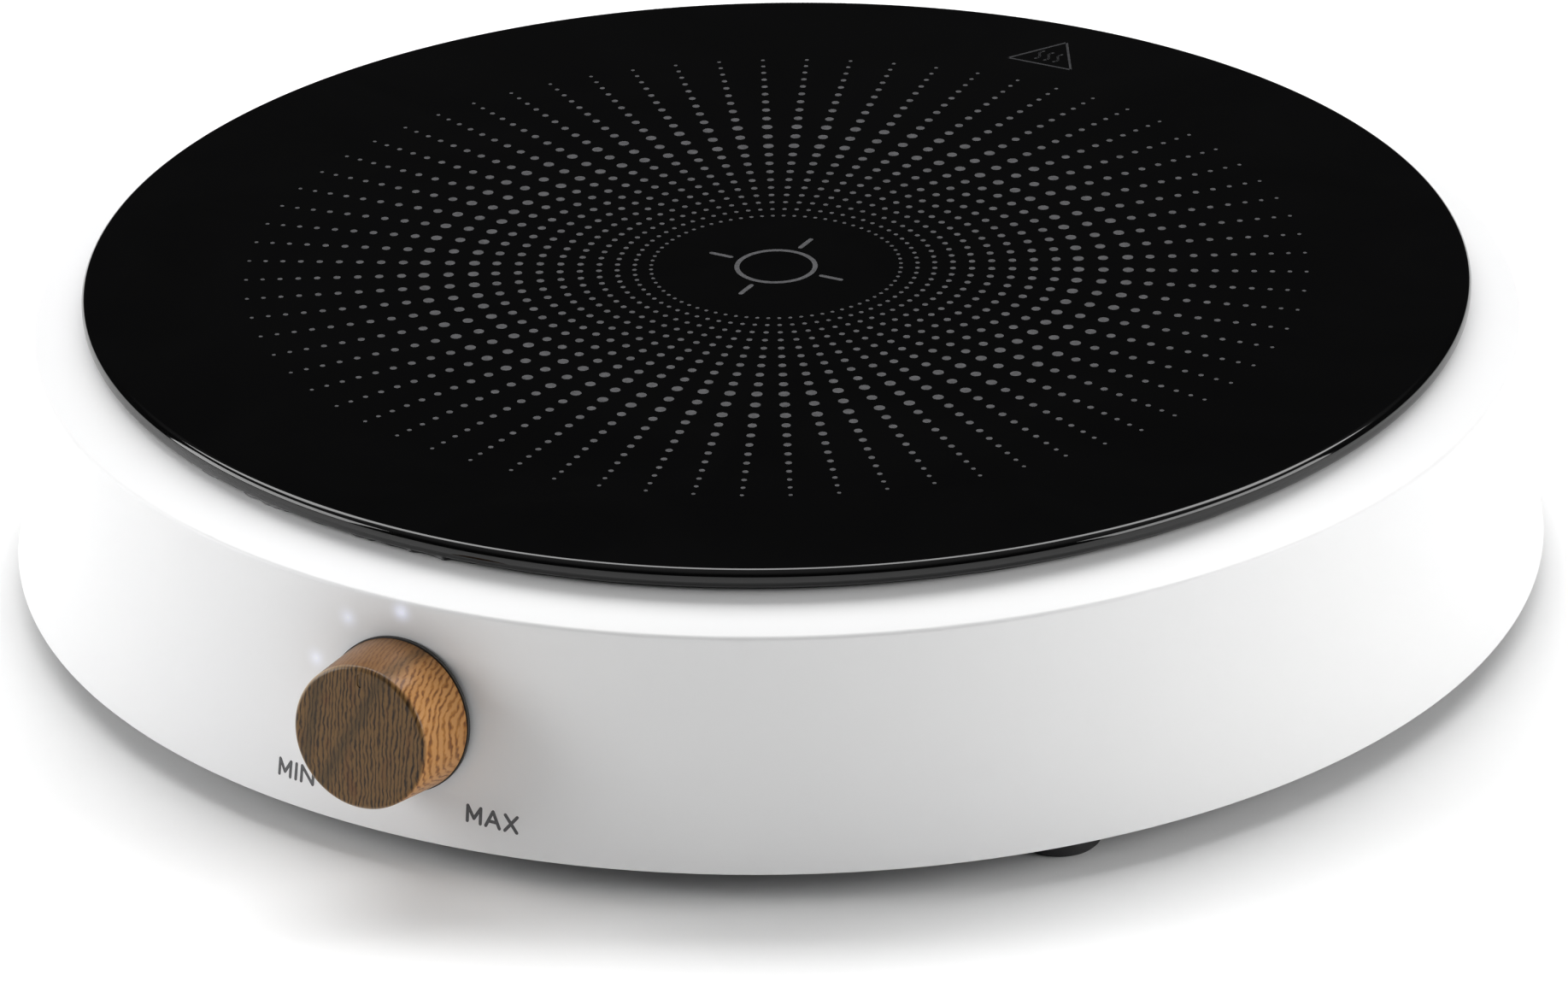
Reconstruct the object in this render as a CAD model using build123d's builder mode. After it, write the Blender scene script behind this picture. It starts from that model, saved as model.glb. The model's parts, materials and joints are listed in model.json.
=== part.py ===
from build123d import *

import os
from math import asin, cos, radians, sin, sqrt

# A round table-top induction hob. Millimetres, Z up, the knob faces -Y, and the origin is on the
# hob's axis at the level that its feet rest on.

# ---- Driving dimensions: outside ----
HEIGHT = 63.5  # table to the top of the glass
GLASS_R = 140.0  # flat top of the glass
GLASS_EDGE = 1.6  # radius of the rounded edge outside it
GLASS_T = 4.0
SEAL_T = 0.75
SEAL_INSET = 0.6  # the seal stays this far inside the flat of the glass
SEAL_LEDGE_INSET = 2.0  # and this far from the inner edge of the ledge
SHOULDER_R = 152.0
SHOULDER_Z = 54.5
SHOULDER_FILLET = 1.0
RIM_R = 157.35
RIM_Z = 6.5
RIM_T = 2.0
WALL_BOW = 1.02  # the wall's outline bows in this much from a straight line
WALL = 2.4
LEDGE_R = 124.0  # inner edge of the ledge that carries the glass
KNOB_Z = 31.4
KNOB_GAP = 0.6
KNOB_SKIRT_R = 15.7  # black plastic skirt behind the wood
KNOB_SKIRT_T = 0.7
KNOB_BASE_R = 15.5
KNOB_FACE_R = 14.45
KNOB_FRONT = 16.0  # from the wall to the knob's face
KNOB_EDGE = 1.0
MARK_L = 2.8  # engraved mark on the knob's face
MARK_W = 1.3
MARK_DEPTH = 0.4
MARK_INSET = 2.7  # from the edge of the face to the middle of the mark
LED_COUNT = 9
LED_CIRCLE_R = 21.0
LED_SWEEP = 288.0  # degrees, centred on the top
FOOT_R = 8.2
FOOT_CHAMFER = 0.6
FOOT_CIRCLE_R = 142.2
FOOT_ANGLES = {"front_left": -50.5, "front_right": 50.5, "rear_left": -129.5, "rear_right": 129.5}

# ---- Driving dimensions: inside ----
FLOOR_T = 2.2
FLOOR_Z = 7.0  # underside of the base cover
BASE_R = 154.2
LIP_R = 153.0
LIP_T = 2.0
LIP_H = 2.6
SCREW_CIRCLE_R = 133.0
SCREW_ANGLES = (-150, -90, -30, 30, 90, 150)
BOSS_R = 4.2
SHAFT_R = 3.0
FIT = 0.05  # radial clearance of a turning shaft or a glued bore
COIL_R = 92.0
COIL_EYE_R = 24.0
COIL_T = 3.6
COIL_TURNS = 18
COIL_TOP_Z = 56.2
FORMER_R = 96.0
FORMER_T = 2.0
BAR_COUNT = 6
BAR_L = 58.0
BAR_W = 12.0
BAR_T = 5.0
BAR_CENTRE_R = 59.0
POST_CIRCLE_R = 104.0
POST_ANGLES = (75, 195, 315)  # from +X, clear of the fan and the main board
BOARD_T = 1.6
BOARD_X = (-8.0, 112.0)
BOARD_Y = (-65.0, 60.0)
BOARD_Z = 14.2
FAN_X = -58.0
FAN_Y = 55.0
FAN_W = 80.0
FAN_H = 25.0
FAN_Z = 10.7
FAN_BORE_R = 38.0
BLADE_COUNT = 7
CORD_Z = 18.5
CORD_R = 3.6
PILOT_PLAY = 0.02  # a screw's shank is this much slimmer than its pilot hole

# ---- Places worked out from them ----
glass_z = HEIGHT - GLASS_T
ledge_z = glass_z - SEAL_T
ledge_under_z = ledge_z - WALL
floor_top_z = FLOOR_Z + FLOOR_T
former_z = COIL_TOP_Z - COIL_T - FORMER_T
bar_z = former_z - BAR_T
board_top_z = BOARD_Z + BOARD_T
board_centre = ((BOARD_X[0] + BOARD_X[1]) / 2, (BOARD_Y[0] + BOARD_Y[1]) / 2)

# The wall's outline is an arc whose centre lies outside the hob.
wall_run = RIM_R - SHOULDER_R
wall_rise = SHOULDER_Z - RIM_Z
chord = sqrt(wall_run**2 + wall_rise**2)
arc_r = (chord**2 / 4 + WALL_BOW**2) / (2 * WALL_BOW)
arc_centre_r = (SHOULDER_R + RIM_R) / 2 + (arc_r - WALL_BOW) * wall_rise / chord
arc_centre_z = (SHOULDER_Z + RIM_Z) / 2 + (arc_r - WALL_BOW) * wall_run / chord


def wall_radius(z):
    """Outer radius of the body's wall at a height."""
    return arc_centre_r - sqrt(arc_r**2 - (arc_centre_z - z) ** 2)


def wall_point(z, inset=0.0):
    """Point of the wall's outline at a height, set in by a thickness."""
    return (wall_radius(z) - inset, z)


def wall_plane(z, azimuth):
    """Plane that touches the wall, its normal pointing out. Azimuth 0 is the knob's side."""
    tilt = asin((arc_centre_z - z) / arc_r)
    out = Vector(sin(radians(azimuth)), -cos(radians(azimuth)), 0)
    side = Vector(cos(radians(azimuth)), sin(radians(azimuth)), 0)
    origin = out * wall_radius(z) + Vector(0, 0, z)
    return Plane(origin=origin, x_dir=side, z_dir=out * cos(tilt) + Vector(0, 0, sin(tilt)))


def around(radius, angles, start=-90.0):
    """Points on a circle at angles counted from the knob's side, or from another start."""
    turned = [radians(start + angle) for angle in angles]
    return [(radius * cos(angle), radius * sin(angle)) for angle in turned]


def level(z):
    """Horizontal plane at a height."""
    return Plane.XY.offset(z)


def screw_set(plane, places, shank_r, length, head_r, head_h):
    """Cross-head screws: heads stand on the plane, shanks go down from it."""
    with BuildPart() as screws:
        with BuildSketch(plane):
            with Locations(*places):
                Circle(head_r)
        extrude(amount=head_h)
        with BuildSketch(plane):
            with Locations(*places):
                Circle(shank_r - PILOT_PLAY)
        extrude(amount=-length)
        with BuildSketch(plane.offset(head_h)):
            with Locations(*places):
                Rectangle(1.3 * head_r, 0.3 * head_r)
                Rectangle(0.3 * head_r, 1.3 * head_r)
        extrude(amount=-head_h / 2, mode=Mode.SUBTRACT)
    return screws


def block(centre, size, z, edge):
    """Box-shaped component standing at a height, with softened upright and top edges."""
    with BuildPart() as body:
        with BuildSketch(level(z)):
            with Locations(centre):
                Rectangle(size[0], size[1])
        extrude(amount=size[2])
        fillet(body.edges().filter_by(Axis.Z), radius=edge)
        chamfer(body.faces().sort_by(Axis.Z)[-1].edges(), length=edge / 2)
    return body


def lead(points, radius, bend):
    """Round wire along straight runs joined by arcs."""
    with BuildPart() as wire:
        with BuildLine() as path:
            FilletPolyline(*points, radius=bend)
        with BuildSketch(Plane(origin=path.line @ 0, z_dir=path.line % 0)):
            Circle(radius)
        sweep()
    return wire


pieces = {}
knob_plane = wall_plane(KNOB_Z, 0)
knob_axis = Axis(knob_plane.origin, knob_plane.z_dir)
cord_plane = wall_plane(CORD_Z, 180)

# ---- Glass plate and its seal ----
with BuildPart() as glass_plate:
    with BuildSketch(level(glass_z)):
        Circle(GLASS_R + GLASS_EDGE)
    extrude(amount=GLASS_T)
    fillet(glass_plate.faces().sort_by(Axis.Z)[-1].edges(), radius=GLASS_EDGE)
    fillet(glass_plate.faces().sort_by(Axis.Z)[0].edges(), radius=GLASS_EDGE)
pieces["glass_plate"] = glass_plate

with BuildPart() as glass_seal:
    with BuildSketch(level(ledge_z)):
        Circle(GLASS_R - SEAL_INSET)
        Circle(LEDGE_R + SEAL_LEDGE_INSET, mode=Mode.SUBTRACT)
    extrude(amount=SEAL_T)
pieces["glass_seal"] = glass_seal

# ---- Body: bezel, wall, ledge, screw bosses, control board bosses and thin LED windows ----
window_skin = 0.8
window_r = 1.9
board_back = -10.6  # back of the control board, counted from the wall along the knob's axis
board_front = board_back + BOARD_T
control_bosses = [(x, y) for x in (-25.5, 25.5) for y in (-12.0, 14.0)]
control_boss_r = 2.6
control_pilot_r = 0.9
base_pilot_r = 1.4
screw_pad_h = 3.0
base_boss_z = floor_top_z + screw_pad_h
base_pilot_depth = 14.0
control_pilot_depth = 4.0
shaft_hole_r = SHAFT_R + 0.4
cord_hole_r = CORD_R + 2.0
bezel_slope = (ledge_z - SHOULDER_Z) / (SHOULDER_R - GLASS_R)
bezel_t = WALL * sqrt(1 + bezel_slope**2)
wall_top_r = SHOULDER_R - WALL
bezel_under_z = ledge_z - bezel_slope * (wall_top_r - GLASS_R) - bezel_t
middle_z = (SHOULDER_Z + RIM_Z) / 2
led_start = 90 - LED_SWEEP / 2

with BuildPart() as led_windows:
    with BuildSketch(knob_plane.offset(board_front)):
        with PolarLocations(LED_CIRCLE_R, LED_COUNT, led_start, LED_SWEEP, endpoint=True):
            Circle(window_r)
    extrude(amount=-board_front + window_r)
    with BuildSketch(Plane.XZ):
        with BuildLine():
            skin = ThreePointArc(
                wall_point(floor_top_z, window_skin),
                wall_point(middle_z, window_skin),
                wall_point(SHOULDER_Z - SHOULDER_FILLET, window_skin),
            )
            Polyline(skin @ 1, (LEDGE_R, (skin @ 1).Y), (LEDGE_R, floor_top_z), skin @ 0)
        make_face()
    revolve(axis=Axis.Z, mode=Mode.INTERSECT)

with BuildPart() as top_shell:
    with BuildSketch(Plane.XZ) as shell_section:
        with BuildLine():
            top = Polyline((LEDGE_R, ledge_z), (GLASS_R, ledge_z), (SHOULDER_R, SHOULDER_Z))
            outer = ThreePointArc(top @ 1, wall_point(middle_z), wall_point(RIM_Z))
            rim = Line(outer @ 1, (RIM_R - RIM_T, RIM_Z))
            inner = ThreePointArc(
                rim @ 1, wall_point(middle_z, WALL), (wall_top_r, bezel_under_z)
            )
            corner_r = GLASS_R + (ledge_z - bezel_t - ledge_under_z) / bezel_slope
            Polyline(
                inner @ 1, (corner_r, ledge_under_z), (LEDGE_R, ledge_under_z), (LEDGE_R, ledge_z)
            )
        make_face()
        shoulder = shell_section.vertices().sort_by_distance((SHOULDER_R, SHOULDER_Z))[0]
        fillet(shoulder, radius=SHOULDER_FILLET)
    revolve(axis=Axis.Z)
    # bosses for the base screws, under the ledge
    with BuildSketch(level(base_boss_z)):
        with Locations(*around(SCREW_CIRCLE_R, SCREW_ANGLES)):
            Circle(BOSS_R)
    extrude(amount=ledge_under_z - base_boss_z + WALL / 4)
    with BuildSketch(level(base_boss_z)):
        with Locations(*around(SCREW_CIRCLE_R, SCREW_ANGLES)):
            Circle(base_pilot_r)
    extrude(amount=base_pilot_depth, mode=Mode.SUBTRACT)
    # bosses for the control board, behind the knob
    with BuildSketch(knob_plane.offset(board_front)):
        with Locations(*control_bosses):
            Circle(control_boss_r)
    extrude(amount=-board_front - control_boss_r - window_skin)
    with BuildSketch(knob_plane.offset(board_front)):
        with Locations(*control_bosses):
            Circle(control_pilot_r)
    extrude(amount=control_pilot_depth, mode=Mode.SUBTRACT)
    # hole for the knob's shaft, windows for the LEDs, hole for the cord's grommet
    with BuildSketch(knob_plane):
        Circle(shaft_hole_r)
    extrude(amount=2 * WALL, both=True, mode=Mode.SUBTRACT)
    add(led_windows.part, mode=Mode.SUBTRACT)
    with BuildSketch(cord_plane):
        Circle(cord_hole_r)
    extrude(amount=2 * WALL, both=True, mode=Mode.SUBTRACT)
pieces["top_shell"] = top_shell

# ---- Base cover: floor, lip, posts, air intake under the fan, air outlet by the heat sink ----
standoff_places = [(x, y) for x in (-2.0, 106.0) for y in (-59.0, 54.0)]
standoff_r = 3.5
board_pilot_r = 1.2
board_pilot_depth = 5.0
post_r = 4.5
post_pilot_r = 1.3
post_pilot_depth = 12.0
fan_hole_span = 71.5
fan_screw_places = [
    (FAN_X + x * fan_hole_span / 2, FAN_Y + y * fan_hole_span / 2) for x in (-1, 1) for y in (-1, 1)
]
fan_post_r = 4.0
fan_pilot_r = 1.5
fan_pilot_depth = 3.0
screw_hole_r = 1.7
screw_recess_r = 3.4
screw_recess_depth = 3.0
clamp_y = 130.0
clamp_places = [(-9.0, clamp_y), (9.0, clamp_y)]
clamp_z = CORD_Z + 1.5
clamp_pilot_depth = 8.0
cord_rest = (10.0, 8.0)  # block that the cord lies on under its clamp
grommet_notch = 20.0
stem_r = 2.4
stem_head_r = stem_r + 0.6
stem_head_h = 2.4
stem_head_taper = 20.0
pad_r = 6.0
intake_inner = {"radius": 17.0, "count": 12, "length": 12.0, "width": 2.6}
intake_outer = {"radius": 31.0, "count": 24, "length": 13.0, "width": 3.0}
outlet = {"radius": 115.0, "count": 10, "length": 18.0, "width": 3.2, "sweep": 44.0}

with BuildPart() as base_cover:
    with BuildSketch(level(FLOOR_Z)):
        Circle(BASE_R)
    extrude(amount=FLOOR_T)
    with BuildSketch(level(floor_top_z)):
        Circle(LIP_R)
        Circle(LIP_R - LIP_T, mode=Mode.SUBTRACT)
        with Locations((0, LIP_R)):
            Rectangle(grommet_notch, 4 * LIP_T, mode=Mode.SUBTRACT)
    extrude(amount=LIP_H)
    # pads and recessed holes for the base screws
    with BuildSketch(level(floor_top_z)):
        with Locations(*around(SCREW_CIRCLE_R, SCREW_ANGLES)):
            Circle(pad_r)
    extrude(amount=base_boss_z - floor_top_z)
    with Locations(*[Plane((x, y, FLOOR_Z), z_dir=(0, 0, -1))
                     for x, y in around(SCREW_CIRCLE_R, SCREW_ANGLES)]):
        CounterBoreHole(screw_hole_r, screw_recess_r, screw_recess_depth)
    # stand-offs for the main board, posts for the coil, pads for the fan and the cord clamp
    with BuildSketch(level(floor_top_z)):
        with Locations(*standoff_places):
            Circle(standoff_r)
    extrude(amount=BOARD_Z - floor_top_z)
    with BuildSketch(level(floor_top_z)):
        with Locations(*around(POST_CIRCLE_R, POST_ANGLES, start=0)):
            Circle(post_r)
    extrude(amount=former_z - floor_top_z)
    with BuildSketch(level(floor_top_z)):
        with Locations(*fan_screw_places):
            Circle(fan_post_r)
    extrude(amount=FAN_Z - floor_top_z)
    with BuildSketch(level(floor_top_z)):
        with Locations(*clamp_places):
            Circle(standoff_r)
    extrude(amount=clamp_z - floor_top_z)
    with BuildSketch(level(floor_top_z)):
        with Locations((0, clamp_y)):
            Rectangle(*cord_rest)
    extrude(amount=CORD_Z - CORD_R - floor_top_z)
    # pilot holes in all of them
    with BuildSketch(level(BOARD_Z)):
        with Locations(*standoff_places):
            Circle(board_pilot_r)
    extrude(amount=-board_pilot_depth, mode=Mode.SUBTRACT)
    with BuildSketch(level(former_z)):
        with Locations(*around(POST_CIRCLE_R, POST_ANGLES, start=0)):
            Circle(post_pilot_r)
    extrude(amount=-post_pilot_depth, mode=Mode.SUBTRACT)
    with BuildSketch(level(FAN_Z)):
        with Locations(*fan_screw_places):
            Circle(fan_pilot_r)
    extrude(amount=-fan_pilot_depth, mode=Mode.SUBTRACT)
    with BuildSketch(level(clamp_z)):
        with Locations(*clamp_places):
            Circle(board_pilot_r)
    extrude(amount=-clamp_pilot_depth, mode=Mode.SUBTRACT)
    # holes for the feet's stems
    with BuildSketch(level(FLOOR_Z)):
        with Locations(*around(FOOT_CIRCLE_R, FOOT_ANGLES.values())):
            Circle(stem_r)
    extrude(amount=FLOOR_T, mode=Mode.SUBTRACT)
    # intake grille under the fan and outlet slots beside the heat sink
    with BuildSketch(level(FLOOR_Z)):
        with Locations((FAN_X, FAN_Y)):
            for grille in (intake_inner, intake_outer):
                with PolarLocations(grille["radius"], grille["count"]):
                    SlotOverall(grille["length"], grille["width"])
        with PolarLocations(
            outlet["radius"], outlet["count"], -outlet["sweep"] / 2, outlet["sweep"], endpoint=True
        ):
            SlotOverall(outlet["length"], outlet["width"])
    extrude(amount=FLOOR_T, mode=Mode.SUBTRACT)
pieces["base_cover"] = base_cover

pieces["base_screws"] = screw_set(
    Plane((0, 0, FLOOR_Z + screw_recess_depth), x_dir=(1, 0, 0), z_dir=(0, 0, -1)),
    [(x, -y) for x, y in around(SCREW_CIRCLE_R, SCREW_ANGLES)],
    shank_r=base_pilot_r, length=base_pilot_depth, head_r=3.0, head_h=1.9,
)

# ---- Rubber feet, each with a stem snapped into the base cover ----
for place, azimuth in FOOT_ANGLES.items():
    with BuildPart() as foot:
        with BuildSketch(level(0)):
            with Locations(*around(FOOT_CIRCLE_R, [azimuth])):
                Circle(FOOT_R)
        extrude(amount=FLOOR_Z)
        chamfer(foot.faces().sort_by(Axis.Z)[0].edges(), length=FOOT_CHAMFER)
        with BuildSketch(level(FLOOR_Z)):
            with Locations(*around(FOOT_CIRCLE_R, [azimuth])):
                Circle(stem_r - FIT)
        extrude(amount=FLOOR_T)
        with BuildSketch(level(floor_top_z)):
            with Locations(*around(FOOT_CIRCLE_R, [azimuth])):
                Circle(stem_head_r)
        extrude(amount=stem_head_h, taper=stem_head_taper)
    pieces[f"foot_{place}"] = foot

# ---- Knob with its hub and spring ring ----
wood_back = KNOB_GAP + KNOB_SKIRT_T
hub_r = 6.0
hub_neck_r = 5.0
hub_neck_h = 4.0
hub_front = 12.0
shaft_front = 11.5
shaft_flat = 0.8
clip_t = 0.8
clip_inset = 0.4
clip_gap = 3.0

with BuildPart() as control_knob:
    with BuildSketch(knob_plane.offset(wood_back)):
        Circle(KNOB_BASE_R)
    with BuildSketch(knob_plane.offset(KNOB_FRONT)):
        Circle(KNOB_FACE_R)
    loft()
    fillet(control_knob.faces().sort_by(knob_axis)[-1].edges(), radius=KNOB_EDGE)
    fillet(control_knob.faces().sort_by(knob_axis)[0].edges(), radius=KNOB_EDGE / 3)
    with BuildSketch(knob_plane.offset(wood_back)):
        Circle(hub_r + FIT)
    extrude(amount=hub_front - wood_back + FIT, mode=Mode.SUBTRACT)
    # the small engraved mark near the edge of the face
    with BuildSketch(knob_plane.offset(KNOB_FRONT)):
        with Locations((0, KNOB_FACE_R - MARK_INSET)):
            SlotOverall(MARK_L, MARK_W, rotation=90)
    extrude(amount=-MARK_DEPTH, mode=Mode.SUBTRACT)
pieces["control_knob"] = control_knob

with BuildPart() as knob_hub:
    # skirt, the neck that the spring ring squeezes, and the barrel glued into the wood
    with BuildSketch(knob_plane.offset(KNOB_GAP)):
        Circle(KNOB_SKIRT_R)
    extrude(amount=KNOB_SKIRT_T)
    with BuildSketch(knob_plane.offset(wood_back)):
        Circle(hub_neck_r)
    extrude(amount=hub_neck_h)
    with BuildSketch(knob_plane.offset(wood_back + hub_neck_h)):
        Circle(hub_r)
    extrude(amount=hub_front - wood_back - hub_neck_h)
    with BuildSketch(knob_plane.offset(KNOB_GAP)):
        Circle(SHAFT_R + FIT)
        with Locations((0, SHAFT_R + FIT)):
            Rectangle(2 * hub_r, 2 * shaft_flat, mode=Mode.SUBTRACT)
    extrude(amount=shaft_front - KNOB_GAP, mode=Mode.SUBTRACT)
pieces["knob_hub"] = knob_hub

with BuildPart() as knob_clip:
    with BuildSketch(knob_plane.offset(wood_back + clip_inset)):
        Circle(hub_neck_r + FIT + clip_t)
        Circle(hub_neck_r + FIT, mode=Mode.SUBTRACT)
        with Locations((0, -hub_neck_r)):
            Rectangle(clip_gap, 4 * clip_t, mode=Mode.SUBTRACT)
    extrude(amount=hub_neck_h - 2 * clip_inset)
pieces["knob_clip"] = knob_clip

# ---- Potentiometer ----
pot_r = 8.5
pot_back = board_back - 9.0
pot_tab = (12.0, 8.0)
bushing_r = 3.5
bushing_front = -2.9
shaft_back = board_back - 5.0
shaft_end_play = 0.5
nut_r = 5.0
nut_h = 2.0

with BuildPart() as potentiometer_body:
    with BuildSketch(knob_plane.offset(pot_back)):
        Circle(pot_r)
        with Locations((0, -pot_r)):
            Rectangle(*pot_tab)
    extrude(amount=board_back - pot_back)
    with BuildSketch(knob_plane.offset(board_back)):
        Circle(bushing_r)
    extrude(amount=bushing_front - board_back)
    with BuildSketch(knob_plane.offset(bushing_front)):
        Circle(SHAFT_R + FIT)
    extrude(amount=shaft_back - bushing_front - shaft_end_play, mode=Mode.SUBTRACT)
pieces["potentiometer_body"] = potentiometer_body

with BuildPart() as potentiometer_shaft:
    with BuildSketch(knob_plane.offset(shaft_back)):
        Circle(SHAFT_R)
    extrude(amount=shaft_front - shaft_back - FIT)
    with BuildSketch(knob_plane.offset(KNOB_GAP)):
        with Locations((0, SHAFT_R)):
            Rectangle(2 * SHAFT_R, 2 * shaft_flat)
    extrude(amount=shaft_front, mode=Mode.SUBTRACT)
pieces["potentiometer_shaft"] = potentiometer_shaft

with BuildPart() as potentiometer_nut:
    with BuildSketch(knob_plane.offset(board_front)):
        RegularPolygon(radius=nut_r, side_count=6, major_radius=False)
        Circle(bushing_r + FIT, mode=Mode.SUBTRACT)
    extrude(amount=nut_h)
pieces["potentiometer_nut"] = potentiometer_nut

# ---- Control board with its LEDs and LED holder ----
screw_play = 0.3  # radial, round a screw's shank
control_board_size = (57.0, 43.0)
control_board_rise = 1.6
board_corner_r = 1.5

with BuildPart() as control_board:
    with BuildSketch(knob_plane.offset(board_back)):
        with Locations((0, control_board_rise)):
            RectangleRounded(*control_board_size, board_corner_r)
        with Locations(*control_bosses):
            Circle(control_pilot_r + screw_play, mode=Mode.SUBTRACT)
        Circle(bushing_r + screw_play, mode=Mode.SUBTRACT)
    extrude(amount=BOARD_T)
pieces["control_board"] = control_board

pieces["control_board_screws"] = screw_set(
    Plane(knob_plane.offset(board_back).origin, x_dir=(1, 0, 0), z_dir=-knob_plane.z_dir),
    [(x, -y) for x, y in control_bosses],
    shank_r=control_pilot_r, length=5, head_r=1.9, head_h=1.4,
)

led_r = 1.5
led_body = 3.4
holder_h = 2.5
holder_outer_r = LED_CIRCLE_R + 2.2
holder_inner_r = LED_CIRCLE_R - 3.2
holder_low = -19.5  # the ring is cut off level here, above the base cover

with BuildPart() as indicator_leds:
    with BuildSketch(knob_plane.offset(board_front)):
        with PolarLocations(LED_CIRCLE_R, LED_COUNT, led_start, LED_SWEEP, endpoint=True):
            Circle(led_r)
    extrude(amount=led_body + led_r)
    domes = indicator_leds.faces().sort_by(knob_axis)[-LED_COUNT:]
    fillet(domes.edges(), radius=led_r - FIT)
pieces["indicator_leds"] = indicator_leds

with BuildPart() as led_holder:
    with BuildSketch(knob_plane.offset(board_front)):
        Circle(holder_outer_r)
        Circle(holder_inner_r, mode=Mode.SUBTRACT)
        with Locations((0, holder_low)):
            Rectangle(
                2 * holder_outer_r, holder_outer_r, align=(Align.CENTER, Align.MAX), mode=Mode.SUBTRACT
            )
        with PolarLocations(LED_CIRCLE_R, LED_COUNT, led_start, LED_SWEEP, endpoint=True):
            Circle(led_r + FIT, mode=Mode.SUBTRACT)
    extrude(amount=holder_h)
pieces["led_holder"] = led_holder

# ---- Coil, former, ferrite bars, mica sheet and its screws ----
turn_pitch = (COIL_R - COIL_EYE_R) / COIL_TURNS
turn_centres = [COIL_EYE_R + turn_pitch * (i + 0.5) for i in range(COIL_TURNS)]
groove = 0.6  # the turns stand out of the flat winding by half of this on each side

with BuildPart() as induction_coil:
    with BuildSketch(Plane.XZ):
        with Locations(((COIL_EYE_R + COIL_R) / 2, COIL_TOP_Z - COIL_T / 2)):
            Rectangle(COIL_R - COIL_EYE_R, COIL_T - groove)
        with Locations(*[(r, COIL_TOP_Z - COIL_T / 2) for r in turn_centres]):
            Ellipse(turn_pitch / 2, COIL_T / 2)
    revolve(axis=Axis.Z)
pieces["induction_coil"] = induction_coil

bar_start = 30.0
bar_play = 0.2
bar_chamfer = 0.5
former_rim_r = 88.0
former_hub_r = 25.0
former_lip_t = 2.0
former_lip_h = 3.0
spoke = (BAR_L + 12.0, BAR_W + 7.0)
rail_t = 1.5
rail_h = 3.0
ear_r = 5.0
ear_t = 3.0
sensor_flange_r = 13.0

with BuildPart() as coil_former:
    # hub, rim and a spoke over each ferrite bar; air and the coil's leads pass between them
    with BuildSketch(level(former_z)):
        Circle(FORMER_R)
        Circle(former_rim_r, mode=Mode.SUBTRACT)
        Circle(former_hub_r)
        with PolarLocations(BAR_CENTRE_R, BAR_COUNT, start_angle=bar_start):
            Rectangle(*spoke)
        Circle(sensor_flange_r + FIT, mode=Mode.SUBTRACT)
    extrude(amount=FORMER_T)
    with BuildSketch(level(former_z)):
        Circle(FORMER_R)
        Circle(FORMER_R - former_lip_t, mode=Mode.SUBTRACT)
    extrude(amount=FORMER_T + former_lip_h)
    # rails that hold the ferrite bars
    with BuildSketch(level(former_z)):
        with PolarLocations(BAR_CENTRE_R, BAR_COUNT, start_angle=bar_start):
            Rectangle(BAR_L + 2 * rail_t, BAR_W + 2 * rail_t)
            Rectangle(BAR_L + bar_play, BAR_W + bar_play, mode=Mode.SUBTRACT)
    extrude(amount=-rail_h)
    # ears on the posts
    with BuildSketch(level(former_z)):
        with Locations(*around(POST_CIRCLE_R, POST_ANGLES, start=0)):
            Circle(ear_r)
        with Locations(*[Location((x, y, 0), (0, 0, angle)) for (x, y), angle in zip(
                around((FORMER_R + POST_CIRCLE_R) / 2, POST_ANGLES, start=0), POST_ANGLES)]):
            Rectangle(POST_CIRCLE_R - FORMER_R + former_lip_t, 2 * ear_r)
    extrude(amount=ear_t)
    with BuildSketch(level(former_z)):
        with Locations(*around(POST_CIRCLE_R, POST_ANGLES, start=0)):
            Circle(post_pilot_r + screw_play)
    extrude(amount=ear_t, mode=Mode.SUBTRACT)
pieces["coil_former"] = coil_former

with BuildPart() as ferrite_bars:
    with BuildSketch(level(bar_z)):
        with PolarLocations(BAR_CENTRE_R, BAR_COUNT, start_angle=bar_start):
            Rectangle(BAR_L, BAR_W)
    extrude(amount=BAR_T)
    chamfer(ferrite_bars.faces().sort_by(Axis.Z)[:BAR_COUNT].edges(), length=bar_chamfer)
pieces["ferrite_bars"] = ferrite_bars

mica_r = COIL_R + 1.0
mica_hole_r = 12.0
mica_t = 0.5
mica_gap = 0.1
with BuildPart() as mica_sheet:
    with BuildSketch(level(COIL_TOP_Z + mica_gap)):
        Circle(mica_r)
        Circle(mica_hole_r, mode=Mode.SUBTRACT)
    extrude(amount=mica_t)
pieces["mica_sheet"] = mica_sheet

pieces["coil_screws"] = screw_set(
    level(former_z + ear_t), around(POST_CIRCLE_R, POST_ANGLES, start=0),
    shank_r=post_pilot_r, length=post_pilot_depth + 2.0, head_r=3.0, head_h=1.8,
)

# ---- Temperature sensor against the middle of the glass ----
holder_r = 9.0
sensor_r = 4.0
sensor_t = 1.3
sensor_chamfer = 0.4
sensor_gap = 0.1  # filled with thermal paste
sensor_z = glass_z - sensor_t - sensor_gap
sensor_wire_r = 1.2
flange_step = 1.0
cup_h = 0.6

with BuildPart() as thermistor_holder:
    with BuildSketch(level(former_z)):
        Circle(sensor_flange_r)
    extrude(amount=FORMER_T + flange_step)
    with BuildSketch(level(former_z)):
        Circle(holder_r)
    extrude(amount=sensor_z + cup_h - former_z)
    with BuildSketch(level(sensor_z)):
        Circle(sensor_r)
    extrude(amount=cup_h, mode=Mode.SUBTRACT)
    with BuildSketch(level(former_z)):
        Circle(sensor_wire_r)
    extrude(amount=sensor_z - former_z, mode=Mode.SUBTRACT)
pieces["thermistor_holder"] = thermistor_holder

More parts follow.
